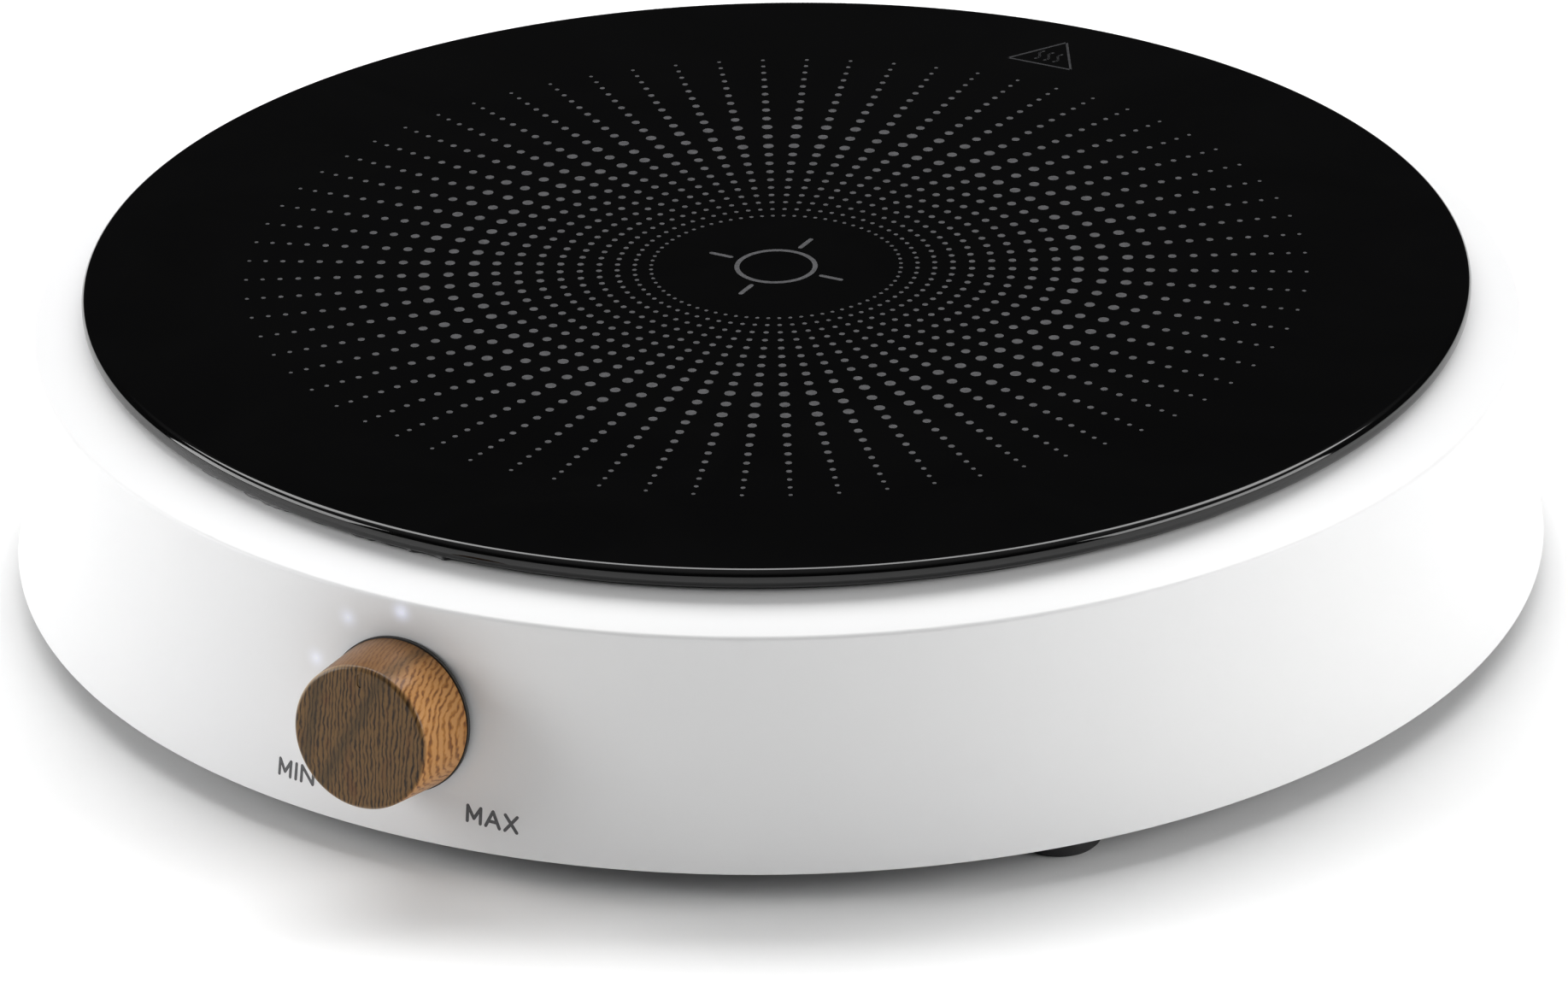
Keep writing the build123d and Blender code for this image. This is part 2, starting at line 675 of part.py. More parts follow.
with BuildPart() as thermistor:
    with BuildSketch(level(sensor_z)):
        Circle(sensor_r)
    extrude(amount=sensor_t)
    chamfer(thermistor.faces().sort_by(Axis.Z)[-1].edges(), length=sensor_chamfer)
pieces["thermistor"] = thermistor

# ---- Main board ----
chip_leads = [(x, 24.5) for x in (8.6, 14.0, 19.4)]
bridge_leads = [(x, 25.0) for x in (36.0, 43.0, 49.0, 56.0)]
lead_hole_r = 0.8
with BuildPart() as main_board:
    with BuildSketch(level(BOARD_Z)):
        with Locations(board_centre):
            RectangleRounded(BOARD_X[1] - BOARD_X[0], BOARD_Y[1] - BOARD_Y[0], board_corner_r)
        with Locations(*standoff_places):
            Circle(board_pilot_r + screw_play, mode=Mode.SUBTRACT)
        with Locations(*chip_leads, *bridge_leads):
            Circle(lead_hole_r, mode=Mode.SUBTRACT)
    extrude(amount=BOARD_T)
pieces["main_board"] = main_board

pieces["main_board_screws"] = screw_set(
    level(board_top_z), standoff_places,
    shank_r=board_pilot_r, length=board_pilot_depth + 1.0, head_r=2.6, head_h=1.6,
)

# ---- Heat sink with the power switch, the rectifier and the thermal cut-off ----
sink_plate_z = 21.0
sink_plate_t = 4.0
sink_x = (-4.0, 66.0)
sink_y = (14.0, 56.0)
sink_centre = ((sink_x[0] + sink_x[1]) / 2, (sink_y[0] + sink_y[1]) / 2)
fin_count = 8
fin_t = 1.4
fin_l = 50.0
fin_h = 15.0
chip_z = board_top_z + 0.4
chip_places = [(14.0, 36.0), (46.0, 36.0)]
chip_screw_r = 1.3
sink_skin = 0.6  # left above the blind screw holes
leg_w = 1.0
leg_t = 0.6
leg_rise = 1.0
leg_below_board = 1.2

with BuildPart() as heat_sink:
    with BuildSketch(level(sink_plate_z)):
        with Locations(sink_centre):
            Rectangle(sink_x[1] - sink_x[0], sink_y[1] - sink_y[0])
    extrude(amount=sink_plate_t)
    with BuildSketch(level(sink_plate_z + sink_plate_t)):
        with Locations((sink_x[0] + fin_l / 2, sink_centre[1])):
            with GridLocations(0, (sink_y[1] - sink_y[0] - fin_t) / (fin_count - 1), 1, fin_count):
                Rectangle(fin_l, fin_t)
    extrude(amount=fin_h)
    with BuildSketch(level(sink_plate_z)):
        with Locations(*chip_places):
            Circle(chip_screw_r)
    extrude(amount=sink_plate_t - sink_skin, mode=Mode.SUBTRACT)
pieces["heat_sink"] = heat_sink


def power_part(centre, size, leads):
    """Flat power component under the heat sink, its legs bent down through the board."""
    with BuildPart() as body:
        with BuildSketch(level(chip_z)):
            with Locations(centre):
                Rectangle(size[0], size[1])
                Circle(chip_screw_r + screw_play, mode=Mode.SUBTRACT)
        extrude(amount=sink_plate_z - chip_z)
        side_y = centre[1] - size[1] / 2
        leg_top_z = chip_z + leg_rise + leg_t
        with BuildSketch(level(leg_top_z)):
            for x, y in leads:
                with Locations((x, (y + side_y) / 2)):
                    Rectangle(leg_w, side_y - y + leg_w)
        extrude(amount=-leg_t)
        with BuildSketch(level(leg_top_z)):
            with Locations(*leads):
                Rectangle(leg_w, leg_t)
        extrude(amount=BOARD_Z - leg_below_board - leg_top_z)
    return body


pieces["igbt"] = power_part(centre=chip_places[0], size=(16, 20), leads=chip_leads)
pieces["bridge_rectifier"] = power_part(centre=chip_places[1], size=(30, 19), leads=bridge_leads)
pieces["heat_sink_screws"] = screw_set(
    Plane((0, 0, chip_z), x_dir=(1, 0, 0), z_dir=(0, 0, -1)),
    [(x, -y) for x, y in chip_places],
    shank_r=chip_screw_r, length=sink_plate_z - chip_z + 3, head_r=2.4, head_h=0.35,
)

cutoff_place = (57.0, sink_centre[1])
cutoff_z = sink_plate_z + sink_plate_t
cutoff_r = 7.5
cutoff_base_h = 6.0
cutoff_cap_r = 6.0
cutoff_cap_h = 3.0
tab_gap = 6.0
tab_size = (0.8, 4.0)
tab_h = 5.0
with BuildPart() as thermal_cutoff:
    with BuildSketch(level(cutoff_z)):
        with Locations(cutoff_place):
            Circle(cutoff_r)
    extrude(amount=cutoff_base_h)
    with BuildSketch(level(cutoff_z + cutoff_base_h)):
        with Locations(cutoff_place):
            Circle(cutoff_cap_r)
    extrude(amount=cutoff_cap_h)
    with BuildSketch(level(cutoff_z + cutoff_base_h + cutoff_cap_h)):
        with Locations(cutoff_place):
            with GridLocations(tab_gap, 0, 2, 1):
                Rectangle(*tab_size)
    extrude(amount=tab_h)
pieces["thermal_cutoff"] = thermal_cutoff

# ---- Parts on the main board ----
board_blocks = {
    "resonant_capacitor": {"centre": (91, 26), "size": (38, 20, 26), "edge": 1.2},
    "filter_capacitor": {"centre": (91, 2), "size": (38, 18, 24), "edge": 1.2},
    "suppressor_capacitor": {"centre": (58, -52), "size": (26, 10, 20), "edge": 1.0},
    "supply_transformer": {"centre": (12, -8), "size": (20, 16, 14), "edge": 0.6},
    "current_sensor": {"centre": (60, -22), "size": (14, 12, 14), "edge": 0.6},
    "microcontroller": {"centre": (14, -36), "size": (18, 10, 2.4), "edge": 0.3},
    "terminal_block": {"centre": (96, 50), "size": (12, 12, 14), "edge": 0.6},
}
for name, shape in board_blocks.items():
    pieces[name] = block(z=board_top_z, **shape)

choke_place = (88.0, -36.0)
choke_ring_r = 13.0
choke_half = (5.5, 6.8)
with BuildPart() as filter_choke:
    with BuildSketch(Plane.XZ.offset(-choke_place[1])):
        with Locations((choke_place[0] + choke_ring_r, board_top_z + choke_half[1] + 0.2)):
            Ellipse(*choke_half)
    revolve(axis=Axis((*choke_place, 0), (0, 0, 1)))
pieces["filter_choke"] = filter_choke

can_places = [(36, -2), (36, -15)]
can_r = 5.0
can_h = 18.0
can_edge = 0.8
with BuildPart() as electrolytic_capacitors:
    with BuildSketch(level(board_top_z)):
        with Locations(*can_places):
            Circle(can_r)
    extrude(amount=can_h)
    can_tops = electrolytic_capacitors.faces().sort_by(Axis.Z)[-len(can_places):]
    fillet(can_tops.edges(), radius=can_edge)
pieces["electrolytic_capacitors"] = electrolytic_capacitors

fuse_place = (-57.0, board_top_z + 3.4)
fuse_start_x = 12.0
fuse_l = 20.0
fuse_r = 2.5
fuse_clip = (5.6, 6.8)
fuse_clip_l = 5.0
with BuildPart() as line_fuse:
    with BuildSketch(Plane.YZ.offset(fuse_start_x)):
        with Locations(fuse_place):
            Circle(fuse_r)
    extrude(amount=fuse_l)
    for clip_x in (fuse_start_x, fuse_start_x + fuse_l - fuse_clip_l):
        with BuildSketch(Plane.YZ.offset(clip_x)):
            with Locations(fuse_place):
                Rectangle(*fuse_clip)
        extrude(amount=fuse_clip_l)
pieces["line_fuse"] = line_fuse

varistor_place = (40.0, -42.0)
varistor_r = 7.0
varistor_t = 4.0
varistor_rise = 9.0
varistor_pitch = 6.0
varistor_wire_r = 0.4
with BuildPart() as varistor:
    with BuildSketch(Plane.YZ.offset(varistor_place[0] - varistor_t / 2)):
        with Locations((varistor_place[1], board_top_z + varistor_rise)):
            Circle(varistor_r)
    extrude(amount=varistor_t)
    fillet(varistor.edges().filter_by(GeomType.CIRCLE), radius=varistor_t / 4)
    with BuildSketch(level(board_top_z)):
        with Locations(varistor_place):
            with GridLocations(0, varistor_pitch, 1, 2):
                Circle(varistor_wire_r)
    extrude(amount=varistor_rise - varistor_t)
pieces["varistor"] = varistor

buzzer_place = (3.0, -47.0)
buzzer_r = 6.0
buzzer_h = 8.0
buzzer_hole_r = 1.0
buzzer_hole_depth = 2.0
with BuildPart() as buzzer:
    with BuildSketch(level(board_top_z)):
        with Locations(buzzer_place):
            Circle(buzzer_r)
    extrude(amount=buzzer_h)
    with BuildSketch(level(board_top_z + buzzer_h)):
        with Locations(buzzer_place):
            Circle(buzzer_hole_r)
    extrude(amount=-buzzer_hole_depth, mode=Mode.SUBTRACT)
pieces["buzzer"] = buzzer

terminal_places = [(64.0, -4.0), (54.0, 4.0)]
terminal_w = 7.0
plug_h = 6.0
with BuildPart() as coil_terminals:
    with BuildSketch(level(board_top_z)):
        with Locations(*terminal_places):
            Rectangle(terminal_w, terminal_w)
    extrude(amount=plug_h)
pieces["coil_terminals"] = coil_terminals

sensor_plug = (24.0, 4.0)
control_plug = (40.0, -60.0)
fan_plug = (-2.0, 4.0)
two_way_plug = (6.0, 5.0)
six_way_plug = (14.0, 5.0)
with BuildPart() as board_connectors:
    with BuildSketch(level(board_top_z)):
        with Locations(sensor_plug, fan_plug):
            Rectangle(*two_way_plug)
        with Locations(control_plug):
            Rectangle(*six_way_plug)
    extrude(amount=plug_h)
pieces["board_connectors"] = board_connectors

# ---- Leads between the units ----
plug_top_z = board_top_z + plug_h
coil_ends = [(82.0, -14.0), (28.0, 0.0)]  # outer turn, inner turn
coil_under_z = COIL_TOP_Z - COIL_T - 0.1
coil_lead_z = 44.0
coil_lead_r = 1.6
coil_lead_bend = 5.0
with BuildPart() as coil_leads:
    for (x, y), (u, v) in zip(coil_ends, terminal_places):
        with BuildLine() as run:
            FilletPolyline(
                (x, y, coil_under_z), (x, y, coil_lead_z), (u, v, coil_lead_z), (u, v, plug_top_z),
                radius=coil_lead_bend,
            )
        with BuildSketch(Plane(origin=run.line @ 0, z_dir=run.line % 0)):
            Circle(coil_lead_r)
        sweep(path=run.line)
pieces["coil_leads"] = coil_leads

signal_lead_r = 1.0
signal_lead_z = 34.0
pieces["thermistor_lead"] = lead(
    [
        (0, 0, former_z + 6),
        (0, 0, signal_lead_z),
        (*sensor_plug, signal_lead_z),
        (*sensor_plug, plug_top_z),
    ],
    radius=signal_lead_r,
    bend=5,
)

fan_lead_exit = (FAN_X + FAN_W / 2, 19.0, 24.0)
fan_lead_x = -13.0
fan_lead_z = 30.0
pieces["fan_lead"] = lead(
    [
        fan_lead_exit,
        (fan_lead_x, *fan_lead_exit[1:]),
        (fan_lead_x, fan_plug[1], fan_lead_z),
        (*fan_plug, fan_lead_z),
        (*fan_plug, plug_top_z),
    ],
    radius=signal_lead_r,
    bend=[3, 4, 4],
)

cable_exit = (20.0, -11.5)  # on the back of the control board
cable_run = 20.0
cable_turn_y = -108.0
pieces["control_cable"] = lead(
    [
        knob_plane.offset(board_back).from_local_coords((*cable_exit, 0)),
        knob_plane.offset(board_back - cable_run).from_local_coords((*cable_exit, 0)),
        (cable_exit[0], cable_turn_y, signal_lead_z),
        (*control_plug, signal_lead_z),
        (*control_plug, plug_top_z),
    ],
    radius=1.6,
    bend=[6, 6, 6],
)

# ---- Fan ----
hub_cup_r = 16.0
hub_cup_t = 1.4
stator_r = 13.4
fan_shaft_r = 1.5
fan_bearing_r = 4.0
fan_base_z = FAN_Z + 2.0
fan_top_z = FAN_Z + FAN_H
fan_corner_r = 3.0
strut_count = 3
strut_w = 4.0
with BuildPart() as fan_frame:
    with BuildSketch(level(FAN_Z)):
        with Locations((FAN_X, FAN_Y)):
            RectangleRounded(FAN_W, FAN_W, fan_corner_r)
            Circle(FAN_BORE_R, mode=Mode.SUBTRACT)
        with Locations(*fan_screw_places):
            Circle(fan_pilot_r + screw_play, mode=Mode.SUBTRACT)
    extrude(amount=FAN_H)
    # motor seat on struts
    with BuildSketch(level(FAN_Z)):
        with Locations((FAN_X, FAN_Y)):
            Circle(stator_r)
            with PolarLocations((stator_r + FAN_BORE_R) / 2, strut_count):
                Rectangle(FAN_BORE_R - stator_r + strut_w / 2, strut_w)
            Circle(fan_bearing_r + FIT, mode=Mode.SUBTRACT)
    extrude(amount=fan_base_z - FAN_Z)
pieces["fan_frame"] = fan_frame

cup_low_z = fan_base_z + 1.0
cup_high_z = fan_top_z - 2.0
cup_top_t = 2.0
shaft_low_z = FAN_Z + 0.6
shaft_high_z = cup_high_z - cup_top_t
hub_boss_r = 3.5
hub_boss_h = 3.0
bearing_bottom_t = 0.4
pole_count = 4
pole = {"radius": 8.0, "length": 9.0, "width": 5.0}
pole_shoe = {"radius": 11.4, "length": 2.4, "width": 11.0}
winding_h = 12.0
with BuildPart() as fan_stator:
    with BuildSketch(level(FAN_Z)):
        with Locations((FAN_X, FAN_Y)):
            Circle(fan_bearing_r)
    extrude(amount=shaft_high_z - hub_boss_h - 1 - FAN_Z)
    # wound poles round the bearing tube
    with BuildSketch(level(cup_low_z)):
        with Locations((FAN_X, FAN_Y)):
            Circle(fan_bearing_r + 1)
            for shape in (pole, pole_shoe):
                with PolarLocations(shape["radius"], pole_count):
                    Rectangle(shape["length"], shape["width"])
    extrude(amount=winding_h)
    with BuildSketch(level(FAN_Z + bearing_bottom_t)):
        with Locations((FAN_X, FAN_Y)):
            Circle(fan_shaft_r + FIT)
    extrude(amount=FAN_H, mode=Mode.SUBTRACT)
pieces["fan_stator"] = fan_stator

with BuildPart() as fan_shaft:
    with BuildSketch(level(shaft_low_z)):
        with Locations((FAN_X, FAN_Y)):
            Circle(fan_shaft_r)
    extrude(amount=shaft_high_z - shaft_low_z)
pieces["fan_shaft"] = fan_shaft

blade_tilt = 35.0
blade_t = 1.6
blade_w = 22.0
blade_gap = 1.2  # from the blade tips to the frame
blade_low_z = FAN_Z + 4.0
blade_high_z = cup_high_z
blade_mid_z = (blade_low_z + blade_high_z) / 2
with BuildPart() as fan_rotor:
    with Locations((FAN_X, FAN_Y, blade_mid_z)):
        with PolarLocations((hub_cup_r + FAN_BORE_R) / 2, BLADE_COUNT):
            Box(FAN_BORE_R - hub_cup_r + 4, blade_t, blade_w, rotation=(blade_tilt, 0, 0))
    with BuildSketch(level(blade_low_z)):
        with Locations((FAN_X, FAN_Y)):
            Circle(FAN_BORE_R - blade_gap)
            Circle(hub_cup_r - hub_cup_t / 2, mode=Mode.SUBTRACT)
    extrude(amount=blade_high_z - blade_low_z, mode=Mode.INTERSECT)
    # cup over the stator, with a boss on the shaft
    with BuildSketch(level(cup_low_z)):
        with Locations((FAN_X, FAN_Y)):
            Circle(hub_cup_r)
            Circle(hub_cup_r - hub_cup_t, mode=Mode.SUBTRACT)
    extrude(amount=cup_high_z - cup_low_z)
    with BuildSketch(level(cup_high_z)):
        with Locations((FAN_X, FAN_Y)):
            Circle(hub_cup_r)
    extrude(amount=-cup_top_t)
    with BuildSketch(level(shaft_high_z)):
        with Locations((FAN_X, FAN_Y)):
            Circle(hub_boss_r)
            Circle(fan_shaft_r, mode=Mode.SUBTRACT)
    extrude(amount=-hub_boss_h)
pieces["fan_rotor"] = fan_rotor

pieces["fan_screws"] = screw_set(
    level(fan_top_z), fan_screw_places,
    shank_r=fan_pilot_r, length=FAN_H + fan_pilot_depth - 0.4, head_r=3.0, head_h=1.8,
)

# ---- Mains cord inlet: grommet in the wall and clamp inside ----
flange_r = 7.0
flange_t = 1.2
flange_edge = 0.5
flange_gap = (0.2, 0.4)  # outside and inside, since the wall is round and the flanges are flat
neck_r = cord_hole_r - FIT
with BuildPart() as cord_grommet:
    with BuildSketch(cord_plane.offset(flange_gap[0])):
        Circle(flange_r)
    extrude(amount=flange_t)
    cord_axis = Axis(cord_plane.origin, cord_plane.z_dir)
    fillet(cord_grommet.edges().sort_by(cord_axis)[-1], radius=flange_edge)
    with BuildSketch(cord_plane.offset(flange_gap[0])):
        Circle(neck_r)
    extrude(amount=-WALL - sum(flange_gap))
    with BuildSketch(cord_plane.offset(-WALL - flange_gap[1])):
        Circle(flange_r)
    extrude(amount=-flange_t)
    with BuildSketch(cord_plane):
        Circle(CORD_R)
    extrude(amount=3 * WALL, both=True, mode=Mode.SUBTRACT)
pieces["cord_grommet"] = cord_grommet

clamp_size = (26.0, 8.0)
clamp_corner_r = 3.5
clamp_t = 4.5
with BuildPart() as cord_clamp:
    with BuildSketch(level(clamp_z)):
        with Locations((0, clamp_y)):
            RectangleRounded(*clamp_size, clamp_corner_r)
        with Locations(*clamp_places):
            Circle(board_pilot_r + screw_play, mode=Mode.SUBTRACT)
    extrude(amount=clamp_t)
    with BuildSketch(Plane((0, clamp_y, CORD_Z), x_dir=(1, 0, 0), z_dir=(0, -1, 0))):
        Circle(CORD_R)
    extrude(amount=clamp_size[1], both=True, mode=Mode.SUBTRACT)
pieces["cord_clamp"] = cord_clamp

pieces["cord_clamp_screws"] = screw_set(
    level(clamp_z + clamp_t), clamp_places,
    shank_r=board_pilot_r, length=clamp_t + clamp_pilot_depth - 1.5, head_r=2.6, head_h=1.6,
)

# ---- One STEP file for each piece ----
os.makedirs("parts", exist_ok=True)
for name, piece in pieces.items():
    piece.part.label = name
    export_step(piece.part, f"parts/{name}.step")
print(len(pieces), "pieces written")
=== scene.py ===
import json
import math
import random

import bmesh
import bpy
from mathutils import Matrix, Vector


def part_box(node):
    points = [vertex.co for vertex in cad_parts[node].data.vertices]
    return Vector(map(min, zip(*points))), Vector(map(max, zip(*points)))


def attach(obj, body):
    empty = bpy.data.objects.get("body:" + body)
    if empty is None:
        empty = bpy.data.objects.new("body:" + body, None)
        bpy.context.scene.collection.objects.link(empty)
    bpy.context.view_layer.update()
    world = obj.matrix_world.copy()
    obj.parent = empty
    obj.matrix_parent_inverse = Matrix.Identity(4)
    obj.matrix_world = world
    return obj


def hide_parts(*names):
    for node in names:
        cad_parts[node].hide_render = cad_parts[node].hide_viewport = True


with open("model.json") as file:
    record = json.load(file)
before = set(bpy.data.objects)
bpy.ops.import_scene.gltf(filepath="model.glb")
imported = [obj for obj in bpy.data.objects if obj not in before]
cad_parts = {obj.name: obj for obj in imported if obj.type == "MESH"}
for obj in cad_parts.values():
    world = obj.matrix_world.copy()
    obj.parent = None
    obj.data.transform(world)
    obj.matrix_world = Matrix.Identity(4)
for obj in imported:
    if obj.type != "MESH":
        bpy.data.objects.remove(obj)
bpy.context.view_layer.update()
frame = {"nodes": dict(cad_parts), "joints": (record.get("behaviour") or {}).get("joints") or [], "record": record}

# A round table-top induction hob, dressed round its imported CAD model. Metres, Z up, knob on -Y.
MM = 0.001

# ---- Places, from the frame ----
glass_low, glass_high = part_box("glass_plate")
shell_low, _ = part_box("top_shell")
knob_joint = next(j for j in frame["joints"] if j["name"] == "knob_turn")
knob_place = Vector(knob_joint["pos_m"])
knob_out = -Vector(knob_joint["axis"])
knob_frame = Matrix((Vector((1, 0, 0)), knob_out.cross(Vector((1, 0, 0))), knob_out)).transposed()
knob_matrix = Matrix.Translation(knob_place) @ knob_frame.to_4x4()
cord_mount = next(m for m in frame["record"]["mounts"] if m["name"] == "cord_inlet")
cord_out = Vector(cord_mount["axis"])
cord_frame = cord_out.to_track_quat("Z", "Y").to_matrix()
cord_matrix = Matrix.Translation(cord_mount["pos_m"]) @ cord_frame.to_4x4()

# ---- Sizes, as in the CAD model ----
GLASS_R = 140 * MM  # flat top of the glass
GLASS_EDGE = 1.6 * MM  # radius of the rounded edge outside it
GLASS_TOP = glass_high.z
GLASS_UNDER = glass_low.z
SEAL_R = GLASS_R - 0.6 * MM
SEAL_T = 0.75 * MM
LEDGE_R = 124 * MM
LEDGE_Z = GLASS_UNDER - SEAL_T
SEAL_INNER_R = LEDGE_R + 2 * MM
SHOULDER_R = 152 * MM
SHOULDER_Z = 54.5 * MM
SHOULDER_FILLET = 1.0 * MM
RIM_R = 157.35 * MM
RIM_Z = shell_low.z
RIM_T = 2.0 * MM
WALL = 2.4 * MM
WALL_BOW = 1.02 * MM
KNOB_BACK = 1.3 * MM  # back of the wood, on the hub's skirt
KNOB_FRONT = 16.0 * MM
KNOB_BASE_R = 15.5 * MM
KNOB_FACE_R = 14.45 * MM
KNOB_EDGE = 1.0 * MM
KNOB_BORE_R = 6.05 * MM
KNOB_BORE_END = 12.05 * MM
MARK_L = 2.8 * MM
MARK_W = 1.3 * MM
MARK_DEPTH = 0.18 * MM  # shallower than in the CAD, too shallow to show in a small render
MARK_INSET = 2.7 * MM
SHAFT_HOLE_R = 3.4 * MM
CORD_HOLE_R = 5.6 * MM
LED_CIRCLE_R = 21.0 * MM
LED_STEP = math.radians(36)
LEDS_LIT = 5

# The wall's outline is an arc whose centre lies outside the hob.
wall_chord = math.hypot(RIM_R - SHOULDER_R, SHOULDER_Z - RIM_Z)
wall_arc_r = (wall_chord**2 / 4 + WALL_BOW**2) / (2 * WALL_BOW)
wall_centre_r = (SHOULDER_R + RIM_R) / 2 + (wall_arc_r - WALL_BOW) * (SHOULDER_Z - RIM_Z) / wall_chord
wall_centre_z = (SHOULDER_Z + RIM_Z) / 2 + (wall_arc_r - WALL_BOW) * (RIM_R - SHOULDER_R) / wall_chord


def wall_radius(z):
    """Outer radius of the body's wall at a height."""
    return wall_centre_r - math.sqrt(wall_arc_r**2 - (wall_centre_z - z) ** 2)


def on_wall(across, up, lift=0.0):
    """Point on the wall, by the distance along it from the knob's axis."""
    tilt = math.asin((wall_centre_z - knob_place.z) / wall_arc_r)
    z = knob_place.z + up * math.cos(tilt)
    radius = wall_radius(z) + lift
    azimuth = across / wall_radius(knob_place.z)
    return Vector((radius * math.sin(azimuth), -radius * math.cos(azimuth), z))


def on_knob(x, y, height):
    """Point in space, by its place in the knob's own frame."""
    return knob_matrix @ Vector((x, y, height))


# ---- Mesh helpers ----
def new_piece(name, build, body="housing"):
    """Object whose mesh is filled by build(bm), riding on a body."""
    mesh = bpy.data.meshes.new(name)
    bm = bmesh.new()
    build(bm)
    bmesh.ops.recalc_face_normals(bm, faces=bm.faces)
    bm.to_mesh(mesh)
    bm.free()
    piece = bpy.data.objects.new(name, mesh)
    bpy.context.scene.collection.objects.link(piece)
    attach(piece, body)
    return piece


def smooth(piece, angle=30):
    """Smooth shading with sharp edges where faces meet at more than an angle."""
    piece.data.shade_smooth()
    piece.data.set_sharp_from_angle(angle=math.radians(angle))


def rounded(corners, steps=6):
    """Outline through corners (x, y, radius), each rounded by an arc of that radius."""
    points = []
    count = len(corners)
    for index, (x, y, radius) in enumerate(corners):
        corner = Vector((x, y))
        before = Vector(corners[index - 1][:2]) - corner
        after = Vector(corners[(index + 1) % count][:2]) - corner
        if radius <= 0:
            points.append(corner)
            continue
        half = before.angle(after) / 2
        reach = radius / math.tan(half)
        centre = corner + (before.normalized() + after.normalized()).normalized() * radius / math.sin(half)
        start = corner + before.normalized() * reach - centre
        end = corner + after.normalized() * reach - centre
        sweep = start.angle_signed(end)
        for step in range(steps + 1):
            turn = -sweep * step / steps
            points.append(centre + Matrix.Rotation(turn, 2) @ start)
    return [(p.x, p.y) for p in points]


def lathe(bm, outline, matrix=Matrix.Identity(4), segments=256, reshape=None):
    """Turns a closed outline of (radius, height) about Z. reshape(r, z, angle) may move points."""
    rings = []
    for radius, height in outline:
        if radius < 1e-7:
            rings.append([bm.verts.new(matrix @ Vector((0, 0, height)))])
            continue
        ring = []
        for step in range(segments):
            angle = 2 * math.pi * step / segments
            r, z = reshape(radius, height, angle) if reshape else (radius, height)
            ring.append(bm.verts.new(matrix @ Vector((r * math.cos(angle), r * math.sin(angle), z))))
        rings.append(ring)
    for ring, following in zip(rings, rings[1:] + rings[:1]):
        for step in range(segments):
            after = (step + 1) % segments
            if len(ring) == 1 and len(following) == 1:
                break
            if len(ring) == 1:
                bm.faces.new((ring[0], following[step], following[after]))
            elif len(following) == 1:
                bm.faces.new((ring[step], following[0], ring[after]))
            else:
                bm.faces.new((ring[step], following[step], following[after], ring[after]))


def prism(bm, outline, place, low, high):
    """Closed plate of a flat outline, each point put in space by place(x, y, height)."""
    bottom = [bm.verts.new(place(x, y, low)) for x, y in outline]
    top = [bm.verts.new(place(x, y, high)) for x, y in outline]
    bm.faces.new(reversed(bottom))
    bm.faces.new(top)
    for index in range(len(outline)):
        after = (index + 1) % len(outline)
        bm.faces.new((bottom[index], bottom[after], top[after], top[index]))


def disc_outline(x, y, radius, sides=14):
    """Points of a circle."""
    turns = [2 * math.pi * side / sides for side in range(sides)]
    return [(x + radius * math.cos(turn), y + radius * math.sin(turn)) for turn in turns]


def stroke_outline(start, end, width, sides=4):
    """Outline of a straight stroke with round ends."""
    start = Vector(start)
    end = Vector(end)
    heading = math.atan2(end.y - start.y, end.x - start.x)
    points = []
    for centre, base in ((start, heading + math.pi / 2), (end, heading - math.pi / 2)):
        for side in range(sides + 1):
            turn = base + math.pi * side / sides
            points.append((centre.x + width / 2 * math.cos(turn), centre.y + width / 2 * math.sin(turn)))
    return points


def cut(piece, build):
    """Takes a solid away from a piece."""
    tool = new_piece(piece.name + "_tool", build)
    modifier = piece.modifiers.new("cut", "BOOLEAN")
    modifier.operation = "DIFFERENCE"
    modifier.solver = "EXACT"
    modifier.object = tool
    evaluated = piece.evaluated_get(bpy.context.evaluated_depsgraph_get())
    shaped = bpy.data.meshes.new_from_object(evaluated)
    piece.modifiers.remove(modifier)
    piece.data = shaped
    bpy.data.objects.remove(tool)


